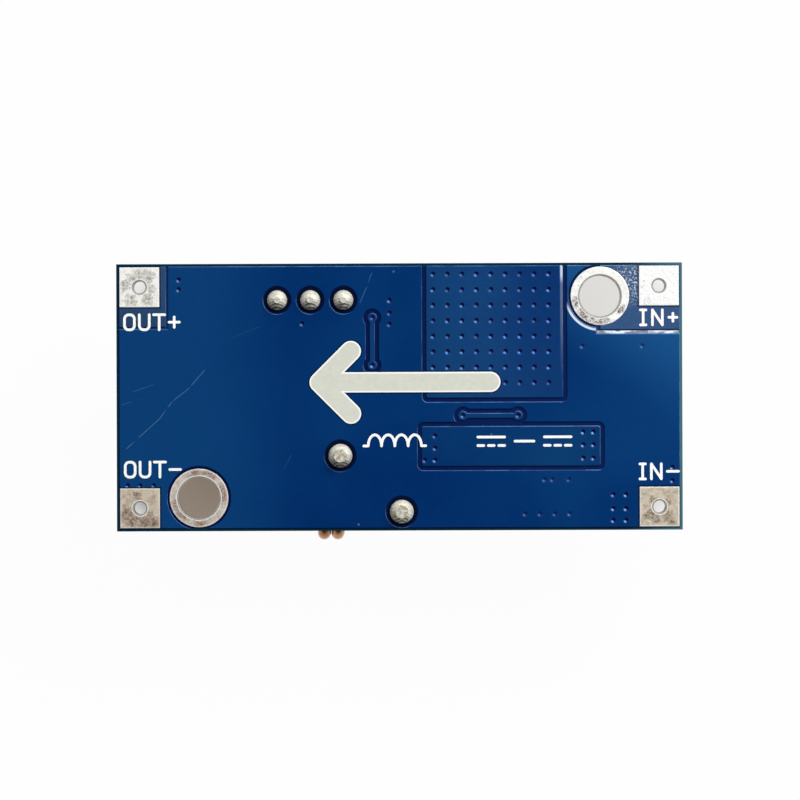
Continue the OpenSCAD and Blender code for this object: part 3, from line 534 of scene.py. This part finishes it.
# ----------------------------------------
# Plated holes: the tin runs down the wall of each terminal and mounting hole.
# It is a thin liner from the land's top to the board's far face.
hole_tin = plain_tin("hole_tin", 0.8, rgb(196, 190, 180), rgb(110, 96, 82), 0.0)


def new_piece(name, mesh, material, body="module"):
    """Makes an object of a bmesh, with its finish and the body it rides on."""
    data = bpy.data.meshes.new(name)
    bmesh.ops.recalc_face_normals(mesh, faces=mesh.faces)
    mesh.to_mesh(data)
    mesh.free()
    piece = bpy.data.objects.new(name, data)
    bpy.context.scene.collection.objects.link(piece)
    data.materials.append(material)
    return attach(piece, body)


liner_t = 0.03
liner_sides = 48
# The liner ends just short of both faces
short = 0.01
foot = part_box("component_lands")[0].z / mm + short
for name, (_, _, _, _, hole_r, _) in tinned_lands.items():
    low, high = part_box(name)
    centre = (low + high) / 2
    top = high.z / mm - short
    wall = [(hole_r, foot), (hole_r, top), (hole_r - liner_t, top), (hole_r - liner_t, foot)]
    liner = bmesh.new()
    rings = [[liner.verts.new((centre.x + r * math.cos(a) * mm, centre.y + r * math.sin(a) * mm, z * mm))
              for r, z in wall] for a in (2 * math.pi * k / liner_sides for k in range(liner_sides))]
    for one, two in zip(rings, rings[1:] + rings[:1]):
        for j in range(len(wall)):
            m = (j + 1) % len(wall)
            liner.faces.new((one[j], two[j], two[m], one[m]))
    new_piece("liner_of_" + name, liner, hole_tin)

# ----------------------------------------
# Printed legend: off-white epoxy ink, screen-printed on the mask.
# A large arrow shows the direction of power, and each terminal has its plain label.
ink, tree, shader = finish("ink", Specular_IOR_Level=0.25)
where = millimetres(tree)
speckle = noise(where, 3.0, 4.0, 0.65)
plain = tones(speckle, (203, 206, 193), (210, 212, 200))
rim = rise(off_arrow(where), stroke_half - 0.16, stroke_half - 0.08, 0.0, 0.85)
colour = shade(rim, plain, rgb(250, 251, 248))
connect(shader, colour, gloss(speckle, 0.5, 0.62), speckle, 0.006, corner_r=0.04)
dress("printed_arrow", ink)

label_ink, tree, shader = finish("label_ink", Specular_IOR_Level=0.25)
speckle = noise(millimetres(tree), 5.0, 4.0, 0.65)
white = tones(speckle, (240, 242, 238), (255, 255, 254))
connect(shader, white, gloss(speckle, 0.5, 0.62), speckle, 0.006)

# The labels are as thick as the arrow, and sink a little into the mask
ink_sunk = 0.02
ink_low, ink_top = (p.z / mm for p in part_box("printed_arrow"))
ink_low -= ink_sunk


# Each stroke of a label lies this much lower than the last, so that none share a surface
stroke_step = 0.0004


def inked(name, strokes, steps=8):
    """One printed label. Each stroke is a line through points of the board's plane, with round ends."""
    mesh = bmesh.new()
    for count, points in enumerate(strokes):
        points = [Vector(on_board(*p)) for p in points]
        looped = (points[0] - points[-1]).length < 0.001
        left, right = [], []
        for k, p in enumerate(points):
            into = (p - points[k - 1]).normalized() if k else None
            out = (points[k + 1] - p).normalized() if k + 1 < len(points) else None
            if looped:
                into = into or (p - points[-2]).normalized()
                out = out or (points[1] - p).normalized()
            heading = ((into or out) + (out or into)).normalized()
            across = Vector((-heading.y, heading.x)) * letter_stroke / 2 / max(heading.dot(out or into), 0.7)
            left.append(p + across)
            right.append(p - across)
        ends = [[], []]
        if not looped:
            for end, centre, start in ((ends[0], points[-1], right[-1]), (ends[1], points[0], left[0])):
                arm = start - centre
                end += [centre + Vector((arm.x * math.cos(a) - arm.y * math.sin(a),
                                         arm.x * math.sin(a) + arm.y * math.cos(a)))
                        for a in (math.pi * j / steps for j in range(1, steps))]
        outline = right + ends[0] + left[::-1] + ends[1]
        n, cap = len(left), len(ends[0])
        top = ink_top - stroke_step * count
        levels = [[mesh.verts.new((p.x * mm, p.y * mm, z * mm)) for p in outline] for z in (top, ink_low)]
        # The ribbon between the two sides, then the round ends and the walls
        for a in levels:
            for k in range(n - 1):
                opposite = 2 * n + cap - k
                mesh.faces.new((a[k], a[k + 1], a[opposite - 2], a[opposite - 1]))
            if cap:
                mesh.faces.new(a[n - 1:n + cap + 1])
                mesh.faces.new(a[2 * n + cap - 1:] + [a[0]])
        upper, lower = levels
        for k in range(len(outline)):
            m = (k + 1) % len(outline)
            if cap or k not in (n - 1, len(outline) - 1):
                mesh.faces.new((upper[k], upper[m], lower[m], lower[k]))
    return new_piece(name, mesh, label_ink)


def arc(x, y, rx, ry, start, end, steps=8):
    """Points of an ellipse's arc, its angles in degrees."""
    return [(x + rx * math.cos(math.radians(start + (end - start) * k / steps)),
             y + ry * math.sin(math.radians(start + (end - start) * k / steps))) for k in range(steps + 1)]


letter_h = 1.15
letter_w = 0.76
letter_stroke = 0.2
serif_w = 0.42


def letters(word, x, y, gap, sign_w):
    """Strokes of a plain word and its sign, the first letter's lower left corner at x, y."""
    strokes = []
    h = letter_h
    r = 0.42 * letter_w
    for letter in word:
        w = {"I": serif_w, "+": sign_w, "-": sign_w}.get(letter, letter_w)
        if letter == "O":
            ring = (arc(x + r, y + h - r, r, r, 180, 90, 4) + arc(x + w - r, y + h - r, r, r, 90, 0, 4)
                    + arc(x + w - r, y + r, r, r, 0, -90, 4) + arc(x + r, y + r, r, r, -90, -180, 4))
            strokes.append(ring + ring[:1])
        elif letter == "U":
            strokes.append([(x, y + h)] + arc(x + r, y + r, r, r, 180, 270, 4)
                           + arc(x + w - r, y + r, r, r, 270, 360, 4) + [(x + w, y + h)])
        elif letter == "T":
            strokes += [[(x - 0.05, y + h), (x + w + 0.05, y + h)], [(x + w / 2, y + h), (x + w / 2, y)]]
        elif letter == "I":
            strokes += [[(x + w / 2, y), (x + w / 2, y + h)]]
            strokes += [[(x, y + z), (x + w, y + z)] for z in (0, h)]
        elif letter == "N":
            strokes += [[(x, y), (x, y + h)], [(x, y + h), (x + w, y)], [(x + w, y), (x + w, y + h)]]
        else:
            strokes.append([(x, y + h / 2), (x + w, y + h / 2)])
            if letter == "+":
                strokes.append([(x + w / 2, y + h / 2 - w / 2), (x + w / 2, y + h / 2 + w / 2)])
        x += w + gap
    return strokes


inked("label_out_positive", letters("OUT+", -21.07, 5.22, 0.38, 0.79))
inked("label_out_negative", letters("OUT-", -21.05, -6.08, 0.38, 0.82))
inked("label_in_positive", letters("IN+", 18.5, 5.46, 0.5, 0.62))
inked("label_in_negative", letters("IN-", 18.42, -6.35, 0.46, 0.86))

# A coil, drawn as four humps between two leads, stands over the inductor's end
coil_foot = -3.75
humps = [arc(-1.9 + 1.02 * k, coil_foot, 0.51, 0.85, 180, 0, 10) for k in range(4)]
inked("sign_coil", humps + [[(-2.75, coil_foot), humps[0][0]], [humps[-1][-1], (2.0, coil_foot)]])
# Direct current in and out: a full line over a broken one, twice, with a dash between
direct = [[(8.85, -3.42), (10.3, -3.42)]]
for x in (6.0, 11.1):
    direct.append([(x, -3.1), (x + 2.05, -3.1)])
    direct += [[(x + 0.8 * k, -3.75), (x + 0.8 * k + 0.45, -3.75)] for k in range(3)]
inked("sign_direct_current", direct)

# ----------------------------------------
# Trimmer: a moulded blue thermoset box with a turned brass screw in its end face.
# Three round tinned pins come out of an epoxy seal and go through the board.
blue, tree, shader = finish("trimmer_blue", Specular_IOR_Level=0.45)
where = millimetres(tree)
grain = noise(where, 9.0, 4.0, 0.6)
worn = noise(where, 0.5, 3.0)
colour = tones(worn, (28, 74, 148), (34, 82, 160))
connect(shader, colour, gloss(grain, 0.38, 0.52), grain, 0.012, corner_r=0.12)
dress("trimmer_housing", blue)

seal, tree, shader = finish("epoxy_seal", Specular_IOR_Level=0.5)
grain = noise(millimetres(tree), 2.2, 3.0)
connect(shader, shade(grain, rgb(176, 158, 112), rgb(206, 192, 150)),
        gloss(grain, 0.2, 0.4), grain, 0.05)
dress("trimmer_potting", seal)

brass, tree, shader = finish("screw_brass", Metallic=1.0)
where = vector("SUBTRACT", millimetres(tree), tuple(centre_of("trimmer_screw")))
radius = length(vector("MULTIPLY", where, (1, 1, 0)))
cut = put(tree, "CombineXYZ", X=radius, Y=0.0, Z=parts_of(where)["Z"]).outputs["Vector"]
lathe = noise(cut, 12.0, 4.0, 0.7)
colour = shade(rise(lathe, 0.3, 0.7), rgb(196, 156, 84), rgb(232, 200, 128))
handled = rise(noise(where, 1.5, 4.0), 0.55, 0.75, 0.0, 0.6)
colour = shade(handled, colour, rgb(150, 112, 60))
connect(shader, colour, rise(lathe, 0.2, 0.8, 0.24, 0.42), lathe, 0.01, corner_r=0.06)
dress("trimmer_screw", brass)

# Matt tin plate: all the leads and pins, and the metal ends of the chip parts
lead_tin, tree, shader = finish("lead_tin", Metallic=0.95)
where = millimetres(tree)
satin = noise(where, 7.0, 5.0, 0.65)
dull = noise(where, 0.9, 3.0)
colour = shade(rise(satin, 0.3, 0.75), rgb(206, 205, 200), rgb(226, 225, 221))
colour = shade(rise(dull, 0.5, 0.72, 0.0, 0.5), colour, rgb(168, 164, 154))
connect(shader, colour, rise(satin, 0.25, 0.75, 0.28, 0.46), satin, 0.008, corner_r=0.05)

# The trimmer's pins are wetted with solder
wetted, tree, shader = finish("wetted_pin", Metallic=0.5)
satin = noise(millimetres(tree), 5.0, 5.0, 0.65)
connect(shader, shade(rise(satin, 0.3, 0.75), rgb(190, 187, 174), rgb(226, 224, 212)),
        rise(satin, 0.25, 0.75, 0.36, 0.52), satin, 0.03, corner_r=0.05)
dress(["trimmer_pin_1", "trimmer_pin_2", "trimmer_pin_3"], wetted)

# ----------------------------------------
# Inductor core: a ring of pressed iron powder in yellow epoxy, one face dipped white.
# It hangs on its own winding, just off the board.
coating, tree, shader = finish("core_coating", Specular_IOR_Level=0.45)
where = millimetres(tree)
dimpled = noise(where, 3.2, 4.0, 0.55)
white_face = fall(calc("ADD", facing_z(tree), times(dimpled, 0.12)), -0.72, -0.6)
yellow = tones(dimpled, (214, 172, 30), (232, 196, 58))
connect(shader, shade(white_face, yellow, rgb(226, 224, 212)), gloss(dimpled, 0.3, 0.48), dimpled, 0.05)
dress("inductor_core", coating)

# ----------------------------------------
# Winding: one length of enamelled copper wire, wound by hand in pairs of turns round the core.
# Its two ends bend over and go down through the board into the solder.
# Lengths are in millimetres and the same as the solid winding's, whose place this takes.
wire_d = 1.0
wire_gap = 0.05
core_edge = 0.5
turns = 20
lead_bend_r = 1.5 * wire_d
lead_straight = 0.5
pair_gap = 0.05
low, high = corners("inductor_core")
core_middle = (low + high) / 2
board_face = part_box("component_copper")[0].z / mm
core_id = 7.7
core_low = board_face - high.z
turn_angle = 360 / turns
bend_r = core_edge + wire_gap + wire_d / 2
ri = core_id / 2 - wire_gap - wire_d / 2
ro = (high.x - low.x) / 2 + wire_gap + wire_d / 2
leg_low = core_low - wire_gap - wire_d / 2 + bend_r
leg_high = core_low + (high.z - low.z) + wire_gap + wire_d / 2 - bend_r
half_pair = math.degrees(math.asin((wire_d + pair_gap) / 2 / ro))
first_turn = -90 + turn_angle * (3 - turns)
wire_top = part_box("inductor_winding")[1].z / mm - board_face


def polar(r, angle):
    """A point by its distance and its angle, in degrees, from the core's middle."""
    return Vector((r * math.cos(math.radians(angle)), r * math.sin(math.radians(angle))))


def inner_leg(i):
    return polar(ri, first_turn + i * turn_angle)


def outer_leg(i):
    """Two turns share a place on the rim: the even one stands just before it, the odd one just after."""
    place = (i + 1) * turn_angle - half_pair if i % 2 == 0 else i * turn_angle + half_pair
    return polar(ro, first_turn + place)


def arch(start, end, z, up, steps=6):
    """Bends out of one leg, straight across the core and into the next leg. Z is down from the board."""
    along = (end - start).normalized()
    bend = [(bend_r * (1 - math.cos(t)), up * bend_r * math.sin(t))
            for t in (math.pi / 2 * k / steps for k in range(steps + 1))]
    return ([(*(start + along * out), z + rise_z) for out, rise_z in bend]
            + [(*(end - along * out), z + rise_z) for out, rise_z in bend[::-1]])


def wire_end(foot, leg, steps=6):
    """From the wire's tip, over the solder, through the board and over to the first or last leg."""
    run = leg - foot
    turned_by = math.acos(1 - run.length / 2 / lead_bend_r)
    half = [(lead_bend_r * (1 - math.cos(t)), lead_bend_r * math.sin(t))
            for t in (turned_by * k / steps for k in range(steps + 1))]
    run.normalize()
    return ([(*foot, -wire_top)] + [(*(foot + run * out), lead_straight + z) for out, z in half]
            + [(*(leg - run * out), lead_straight + 2 * half[-1][1] - z) for out, z in half[-2::-1]])


# Where the wire's two ends stand in the solder, from the core's middle
inner_foot = Vector((0.77, -0.88))
outer_foot = Vector((5.47, -5.18))
route = wire_end(inner_foot, inner_leg(0))
for i in range(turns):
    if i:
        route += arch(outer_leg(i - 1), inner_leg(i), leg_low, -1)
    route += arch(inner_leg(i), outer_leg(i), leg_high, 1)
route += wire_end(outer_foot, outer_leg(turns - 1))[::-1]
route = [Vector((core_middle.x + x, core_middle.y + y, board_face - z)) * mm for x, y, z in route]

wire_sides = 18
tube = bmesh.new()
rings = []
across = Vector((1, 0.2, 0))
for k, p in enumerate(route):
    ahead = (route[min(k + 1, len(route) - 1)] - p).normalized() + (p - route[max(k - 1, 0)]).normalized()
    ahead.normalize()
    across = (across - across.dot(ahead) * ahead).normalized()
    beside = ahead.cross(across)
    rings.append([tube.verts.new(p + (across * math.cos(a) + beside * math.sin(a)) * wire_d / 2 * mm)
                  for a in (2 * math.pi * s / wire_sides for s in range(wire_sides))])
for one, two in zip(rings, rings[1:]):
    for s in range(wire_sides):
        tube.faces.new((one[s], one[(s + 1) % wire_sides], two[(s + 1) % wire_sides], two[s]))
tube.faces.new(rings[0][::-1])
tube.faces.new(rings[-1])

enamel, tree, shader = finish("wire_enamel", Coat_Roughness=0.12)
where = millimetres(tree)
film = noise(where, 1.1, 4.0, 0.6)
colour = tones(film, (140, 84, 40), (190, 130, 68))
solder_line = rise(parts_of(where)["Z"], board_face + 0.2, board_face + 0.8)
wetted = rise(noise(where, 3.5, 4.0, 0.7), 0.4, 0.62)
wetted = shade(wetted, rgb(158, 152, 130), rgb(216, 213, 200))
colour = shade(solder_line, colour, wetted)
tree.links.new(fall(solder_line, 0, 1, 0.6), shader.inputs["Coat Weight"])
rough = calc("ADD", gloss(film, 0.2, 0.34), times(solder_line, 0.3))
connect(shader, colour, rough, film, 0.01, metallic=rise(solder_line, 0, 1, 0.9, 0.25))
winding = new_piece("winding_wire", tube, enamel)
for face in winding.data.polygons:
    face.use_smooth = len(face.vertices) == 4
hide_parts("inductor_winding")

# ----------------------------------------
# Regulator: a black moulding on a tinned copper tab, soldered flat to the board.
# Five leads bend down to their lands, and the middle one is part of the tab.
# The moulding has the fine spark-eroded grain of its mould.
moulding, tree, shader = finish("black_moulding", Specular_IOR_Level=0.4)
where = millimetres(tree)
eroded = noise(where, 11.0, 5.0, 0.7)
cloud = noise(where, 0.7, 3.0)
colour = tones(cloud, (34, 34, 37), (48, 48, 51))
connect(shader, colour, gloss(eroded, 0.48, 0.66), eroded, 0.02, corner_r=0.1)
dress("regulator_body", moulding)
regulator_leads = ["regulator_lead_%d" % k for k in (1, 2, 4, 5)]
dress(["regulator_tab", *regulator_leads], lead_tin)

# ----------------------------------------
# Can capacitors: drawn aluminium cans, crimped at the foot, on black moulded base plates.
# The module stands on their tops, where a black segment marks the negative side.
dress(["input_capacitor_base", "output_capacitor_base"], moulding)
for which in ("input", "output"):
    can, tree, shader = finish(which + "_can", Metallic=0.9)
    where = vector("SUBTRACT", millimetres(tree), tuple(centre_of(which + "_capacitor_can")))
    x, y, z = parts_of(where)
    angle = calc("ARCTAN2", y, x)
    along = put(tree, "CombineXYZ", X=times(angle, 9.0), Y=0.0, Z=times(z, 0.12))
    drawn = noise(along.outputs["Vector"], 5.0, 5.0, 0.65)
    on_top = fall(facing_z(tree), -0.95, -0.85)
    segment = times(on_top, fall(y, -1.35, -1.3))
    handled = noise(where, 0.6, 4.0, 0.6)
    colour = shade(rise(drawn, 0.3, 0.7), rgb(196, 198, 200), rgb(222, 223, 225))
    colour = shade(rise(handled, 0.55, 0.75, 0.0, 0.4), colour, rgb(176, 176, 176))
    colour = shade(segment, colour, rgb(26, 26, 28))
    connect(shader, colour, rise(drawn, 0.25, 0.75, 0.26, 0.4), drawn, 0.006,
            metallic=calc("SUBTRACT", 0.9, times(segment, 0.9)))
    dress(which + "_capacitor_can", can)
    dress([which + "_capacitor_lead_positive", which + "_capacitor_lead_negative"], lead_tin)

# ----------------------------------------
# Diode: a rectifier in a black moulding, whose two tinned strips fold in under it.
# They are soldered to their lands, and a pale printed band marks the cathode.
banded, tree, shader = finish("diode_moulding", Specular_IOR_Level=0.4)
low, _ = corners("diode_body")
where = millimetres(tree)
eroded = noise(where, 11.0, 5.0, 0.7)
x, _, z = parts_of(where)
band = fall(apart(x, low.x + 0.95), 0.3, 0.36)
band = times(band, fall(z, low.z + 0.03, low.z + 0.08))
colour = tones(noise(where, 0.8), (34, 34, 37), (46, 46, 49))
colour = shade(band, colour, rgb(176, 176, 172))
connect(shader, colour, gloss(eroded, 0.48, 0.66), eroded, 0.02, corner_r=0.08)
dress("diode_body", banded)
dress(["diode_lead_cathode", "diode_lead_anode"], lead_tin)

# ----------------------------------------
# Chip parts: fired brown ceramic capacitors and one resistor, black over white alumina.
# Each has a tinned cap over both ends.
ceramic, tree, shader = finish("brown_ceramic", Specular_IOR_Level=0.45)
fired = noise(millimetres(tree), 8.0, 4.0, 0.6)
colour = tones(fired, (158, 126, 86), (188, 158, 116))
connect(shader, colour, gloss(fired, 0.36, 0.5), fired, 0.01, corner_r=0.05)
alumina, tree, shader = finish("black_over_alumina", Specular_IOR_Level=0.45)
fired = noise(millimetres(tree), 8.0, 4.0, 0.6)
colour = shade(fall(facing_z(tree), -0.8, -0.6), rgb(222, 220, 212), rgb(30, 30, 33))
connect(shader, colour, gloss(fired, 0.28, 0.42), fired, 0.01, corner_r=0.05)
chips = ["input_chip_capacitor", "output_chip_capacitor", "compensation_capacitor", "feedforward_capacitor",
         "feedback_resistor"]
dress(chips[:4], ceramic)
dress(chips[4], alumina)
dress([name + "_ends" for name in chips], lead_tin)

# ----------------------------------------
# Solder: hand-made domes over the trimmer's pins and the winding's ends on this side,
# and reflowed fillets that climb the leads and chip ends on the other.
foil_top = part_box("ground_copper")[1].z / mm
for name in joints:
    solder, tree, shader = finish("solder_" + name, Metallic=0.3, Specular_IOR_Level=0.3)
    where = millimetres(tree)
    low, high = corners(name)
    centre = centre_of(name)
    joint_r = (high.x - low.x) / 2
    frost = noise(where, 2.2, 4.0, 0.6)
    pits = noise(where, 5.5, 3.0, 0.6)
    colour = tones(frost, (206, 203, 190), (226, 224, 212))
    colour = shade(rise(pits, 0.6, 0.75, 0.0, 0.5), colour, rgb(150, 142, 126))
    # It froze in ripples; low on the -Y side they are drawn dark, a painted reflection of the room's dim side
    far = []
    for place in (-1.15, -0.6):
        off_last = vector("SUBTRACT", where, (centre.x, centre.y + place * joint_r, 0))
        off_last = length(vector("MULTIPLY", off_last, (0.8, 1, 0)))
        far.append(calc("ADD", off_last, times(frost, 0.35)))
    ripple = calc("ADD", 0.55, times(calc("SINE", times(far[0], 27.0)), 0.45))
    # The ripples' painted dark reflection
    dull = times(ripple, fall(far[1], 0.5 * joint_r, 0.95 * joint_r, 0.95))
    colour = shade(dull, colour, rgb(70, 68, 60))
    # Painted shade darkens the dome's foot, where it meets the board
    foot = fall(parts_of(where)["Z"], foil_top, foil_top + 0.16, 0.7)
    colour = shade(foot, colour, rgb(96, 94, 88))
    relief = calc("ADD", frost, times(calc("ADD", pits, ripple), 0.3))
    connect(shader, colour, gloss(frost, 0.48, 0.62), relief, 0.07)
    dress(name, solder)


def fillets(name, feet, reach, tall):
    """Concave skirts of solder round lead feet, each foot as its low and high corner in millimetres."""
    overlap = 0.02
    sunk = 0.005
    corner_steps = 4
    mesh = bmesh.new()
    for (x0, y0), (x1, y1) in feet:
        bands = []
        for t in (0.0, 0.2, 0.45, 0.7, 1.0):
            grow = reach * (1 - t) ** 2 + overlap
            z = board_face - sunk - tall * t
            ring = []
            for cx, cy, start in ((x1, y1, 0), (x0, y1, 90), (x0, y0, 180), (x1, y0, 270)):
                for k in range(corner_steps + 1):
                    a = math.radians(start + 90 * k / corner_steps)
                    x, y = cx + grow * math.cos(a), cy + grow * math.sin(a)
                    ring.append(mesh.verts.new((x * mm, y * mm, z * mm)))
            bands.append(ring)
        for one, two in zip(bands, bands[1:]):
            for k in range(len(one)):
                m = (k + 1) % len(one)
                mesh.faces.new((one[k], one[m], two[m], two[k]))
        mesh.faces.new(bands[0][::-1])
        mesh.faces.new(bands[-1])
    piece = new_piece(name, mesh, lead_tin)
    for face in piece.data.polygons:
        face.use_smooth = len(face.vertices) == 4


def end_of(name, axis, side, reach):
    """The part of a CAD node within reach of one end, as its low and high corner."""
    low, high = ([p.x, p.y] for p in corners(name))
    if side > 0:
        low[axis] = high[axis] - reach
    else:
        high[axis] = low[axis] + reach
    return low, high


# The tab is soldered at its narrow end and under its wide one
low, high = corners("regulator_tab")
middle = (low.x + high.x) / 2
tab_ends = [((middle - 0.4, low.y), (middle + 0.4, low.y + 1.6)),
            ((low.x + 0.4, high.y - 1.4), (high.x - 0.4, high.y))]
fillets("regulator_fillets", [end_of(name, 1, -1, 1.6) for name in regulator_leads] + tab_ends, 0.18, 0.3)
fillets("capacitor_fillets", [end_of(which + "_capacitor_lead_" + pole, 1, side, 0.8)
                              for which in ("input", "output")
                              for pole, side in (("positive", 1), ("negative", -1))], 0.25, 0.2)
fillets("diode_fillets", [end_of("diode_lead_" + pole, 0, side, 0.5)
                          for pole, side in (("cathode", -1), ("anode", 1))], 0.3, 0.5)
feet = []
for name in chips:
    low, high = corners(name + "_ends")
    axis = 0 if high.x - low.x > high.y - low.y else 1
    feet += [end_of(name + "_ends", axis, side, 0.35) for side in (-1, 1)]
fillets("chip_fillets", feet, 0.22, 0.3)

# ----------------------------------------
# Stage: the module lies on a white bench in a bright room, tops of its cans down.
# One large soft lamp stands above and behind it, and the camera looks straight down.
floor_mesh = bmesh.new()
bmesh.ops.create_grid(floor_mesh, x_segments=1, y_segments=1, size=2.0)
floor_data = bpy.data.meshes.new("floor")
floor_mesh.to_mesh(floor_data)
floor_mesh.free()
floor = bpy.data.objects.new("floor", floor_data)
bpy.context.scene.collection.objects.link(floor)
# A hair below the cans' tops, so that the two don't share a plane
floor.location = (0, 0, -0.00001)
paper, tree, shader = finish("white_bench", Roughness=0.9, Specular_IOR_Level=0.1)
where = millimetres(tree)
x, y, _ = parts_of(vector("ABSOLUTE", vector("SUBTRACT", where, tuple(board_centre))))
beyond = calc("MAXIMUM", calc("SUBTRACT", x, board_l / 2), calc("SUBTRACT", y, board_w / 2))
outside = rise(beyond, -0.9, 0.4)
off_corner = put(tree, "CombineXYZ", X=x, Y=y, Z=0.0).outputs["Vector"]
off_corner = length(vector("SUBTRACT", off_corner, (board_l / 2, board_w / 2, 0)))
# Browner where the output end's ring shows it. The bench is lower, so that place is further out
further_out = 1.033
off_ring = length(level_run(where, centre_of("mounting_ring_out") * further_out))
brown = times(fall(off_ring, 2.0, 5.0), fall(outside, 0.15, 0.4))
tree.links.new(shade(brown, (0.64, 0.63, 0.6, 1), (0.65, 0.56, 0.485, 1)), shader.inputs["Base Color"])
lit = put(tree, "Emission", Color=shade(brown, (1, 1, 1, 1), (1.0, 0.8, 0.62, 1)), Strength=1.0)
path = put(tree, "LightPath").outputs
seen = calc("MAXIMUM", path["Is Camera Ray"], path["Is Glossy Ray"])
seen = calc("MAXIMUM", seen, path["Is Transmission Ray"])
# White round the module and, less so, under its corners, where painted light brightens the bench
white = calc("MAXIMUM", rise(outside, 0, 1, 0.15, 0.97), fall(off_corner, 0.8, 3.6, 0.7))
mixed = put(tree, "MixShader", i0=times(seen, white), i1=shader.outputs[0], i2=lit.outputs[0])
tree.links.new(mixed.outputs[0], tree.nodes["Material Output"].inputs["Surface"])
floor_data.materials.append(paper)

world = bpy.data.worlds.new("studio")
bpy.context.scene.world = world
world.use_nodes = True
tree = world.node_tree
background = tree.nodes["Background"]
look = parts_of(put(tree, "TexCoord").outputs["Generated"])
# A bright room to +Y and +X, dim to -Y, with a dark patch straight overhead
bright_side = calc("ADD", times(look["Y"], 0.8), times(look["X"], 0.35))
room = rise(bright_side, -0.55, 0.25, 0.1, 0.8)
room = times(room, rise(look["Z"], 0.95, 0.985, 1.0, 0.03))
path = put(tree, "LightPath").outputs["Is Camera Ray"]
strength = calc("ADD", times(room, calc("SUBTRACT", 1.0, path)), path)
tree.links.new(strength, background.inputs["Strength"])
background.inputs["Color"].default_value = (1, 1, 1, 1)

# A square soft lamp, turned to the module
lamp_place = Vector((0.22, 0.28, 0.36))
light = bpy.data.lights.new("key_lamp", "AREA")
light.size = 0.24
light.energy = 2.2
lamp = bpy.data.objects.new("key_lamp", light)
bpy.context.scene.collection.objects.link(lamp)
lamp.location = lamp_place
lamp.rotation_euler = (-lamp_place).to_track_quat("-Z", "Y").to_euler()

# A long lens, 0.4 m above the board and a hair off square
camera_data = bpy.data.cameras.new("camera")
camera_data.sensor_width = 36.0
camera_data.lens = 234.7
camera_data.clip_end = 10.0
camera = bpy.data.objects.new("camera", camera_data)
bpy.context.scene.collection.objects.link(camera)
camera.location = (0.04 * mm, 0.14 * mm, 0.4125)
camera.rotation_euler = (0, 0, math.radians(-0.2))
bpy.context.scene.camera = camera
bpy.context.scene.view_settings.view_transform = "Standard"
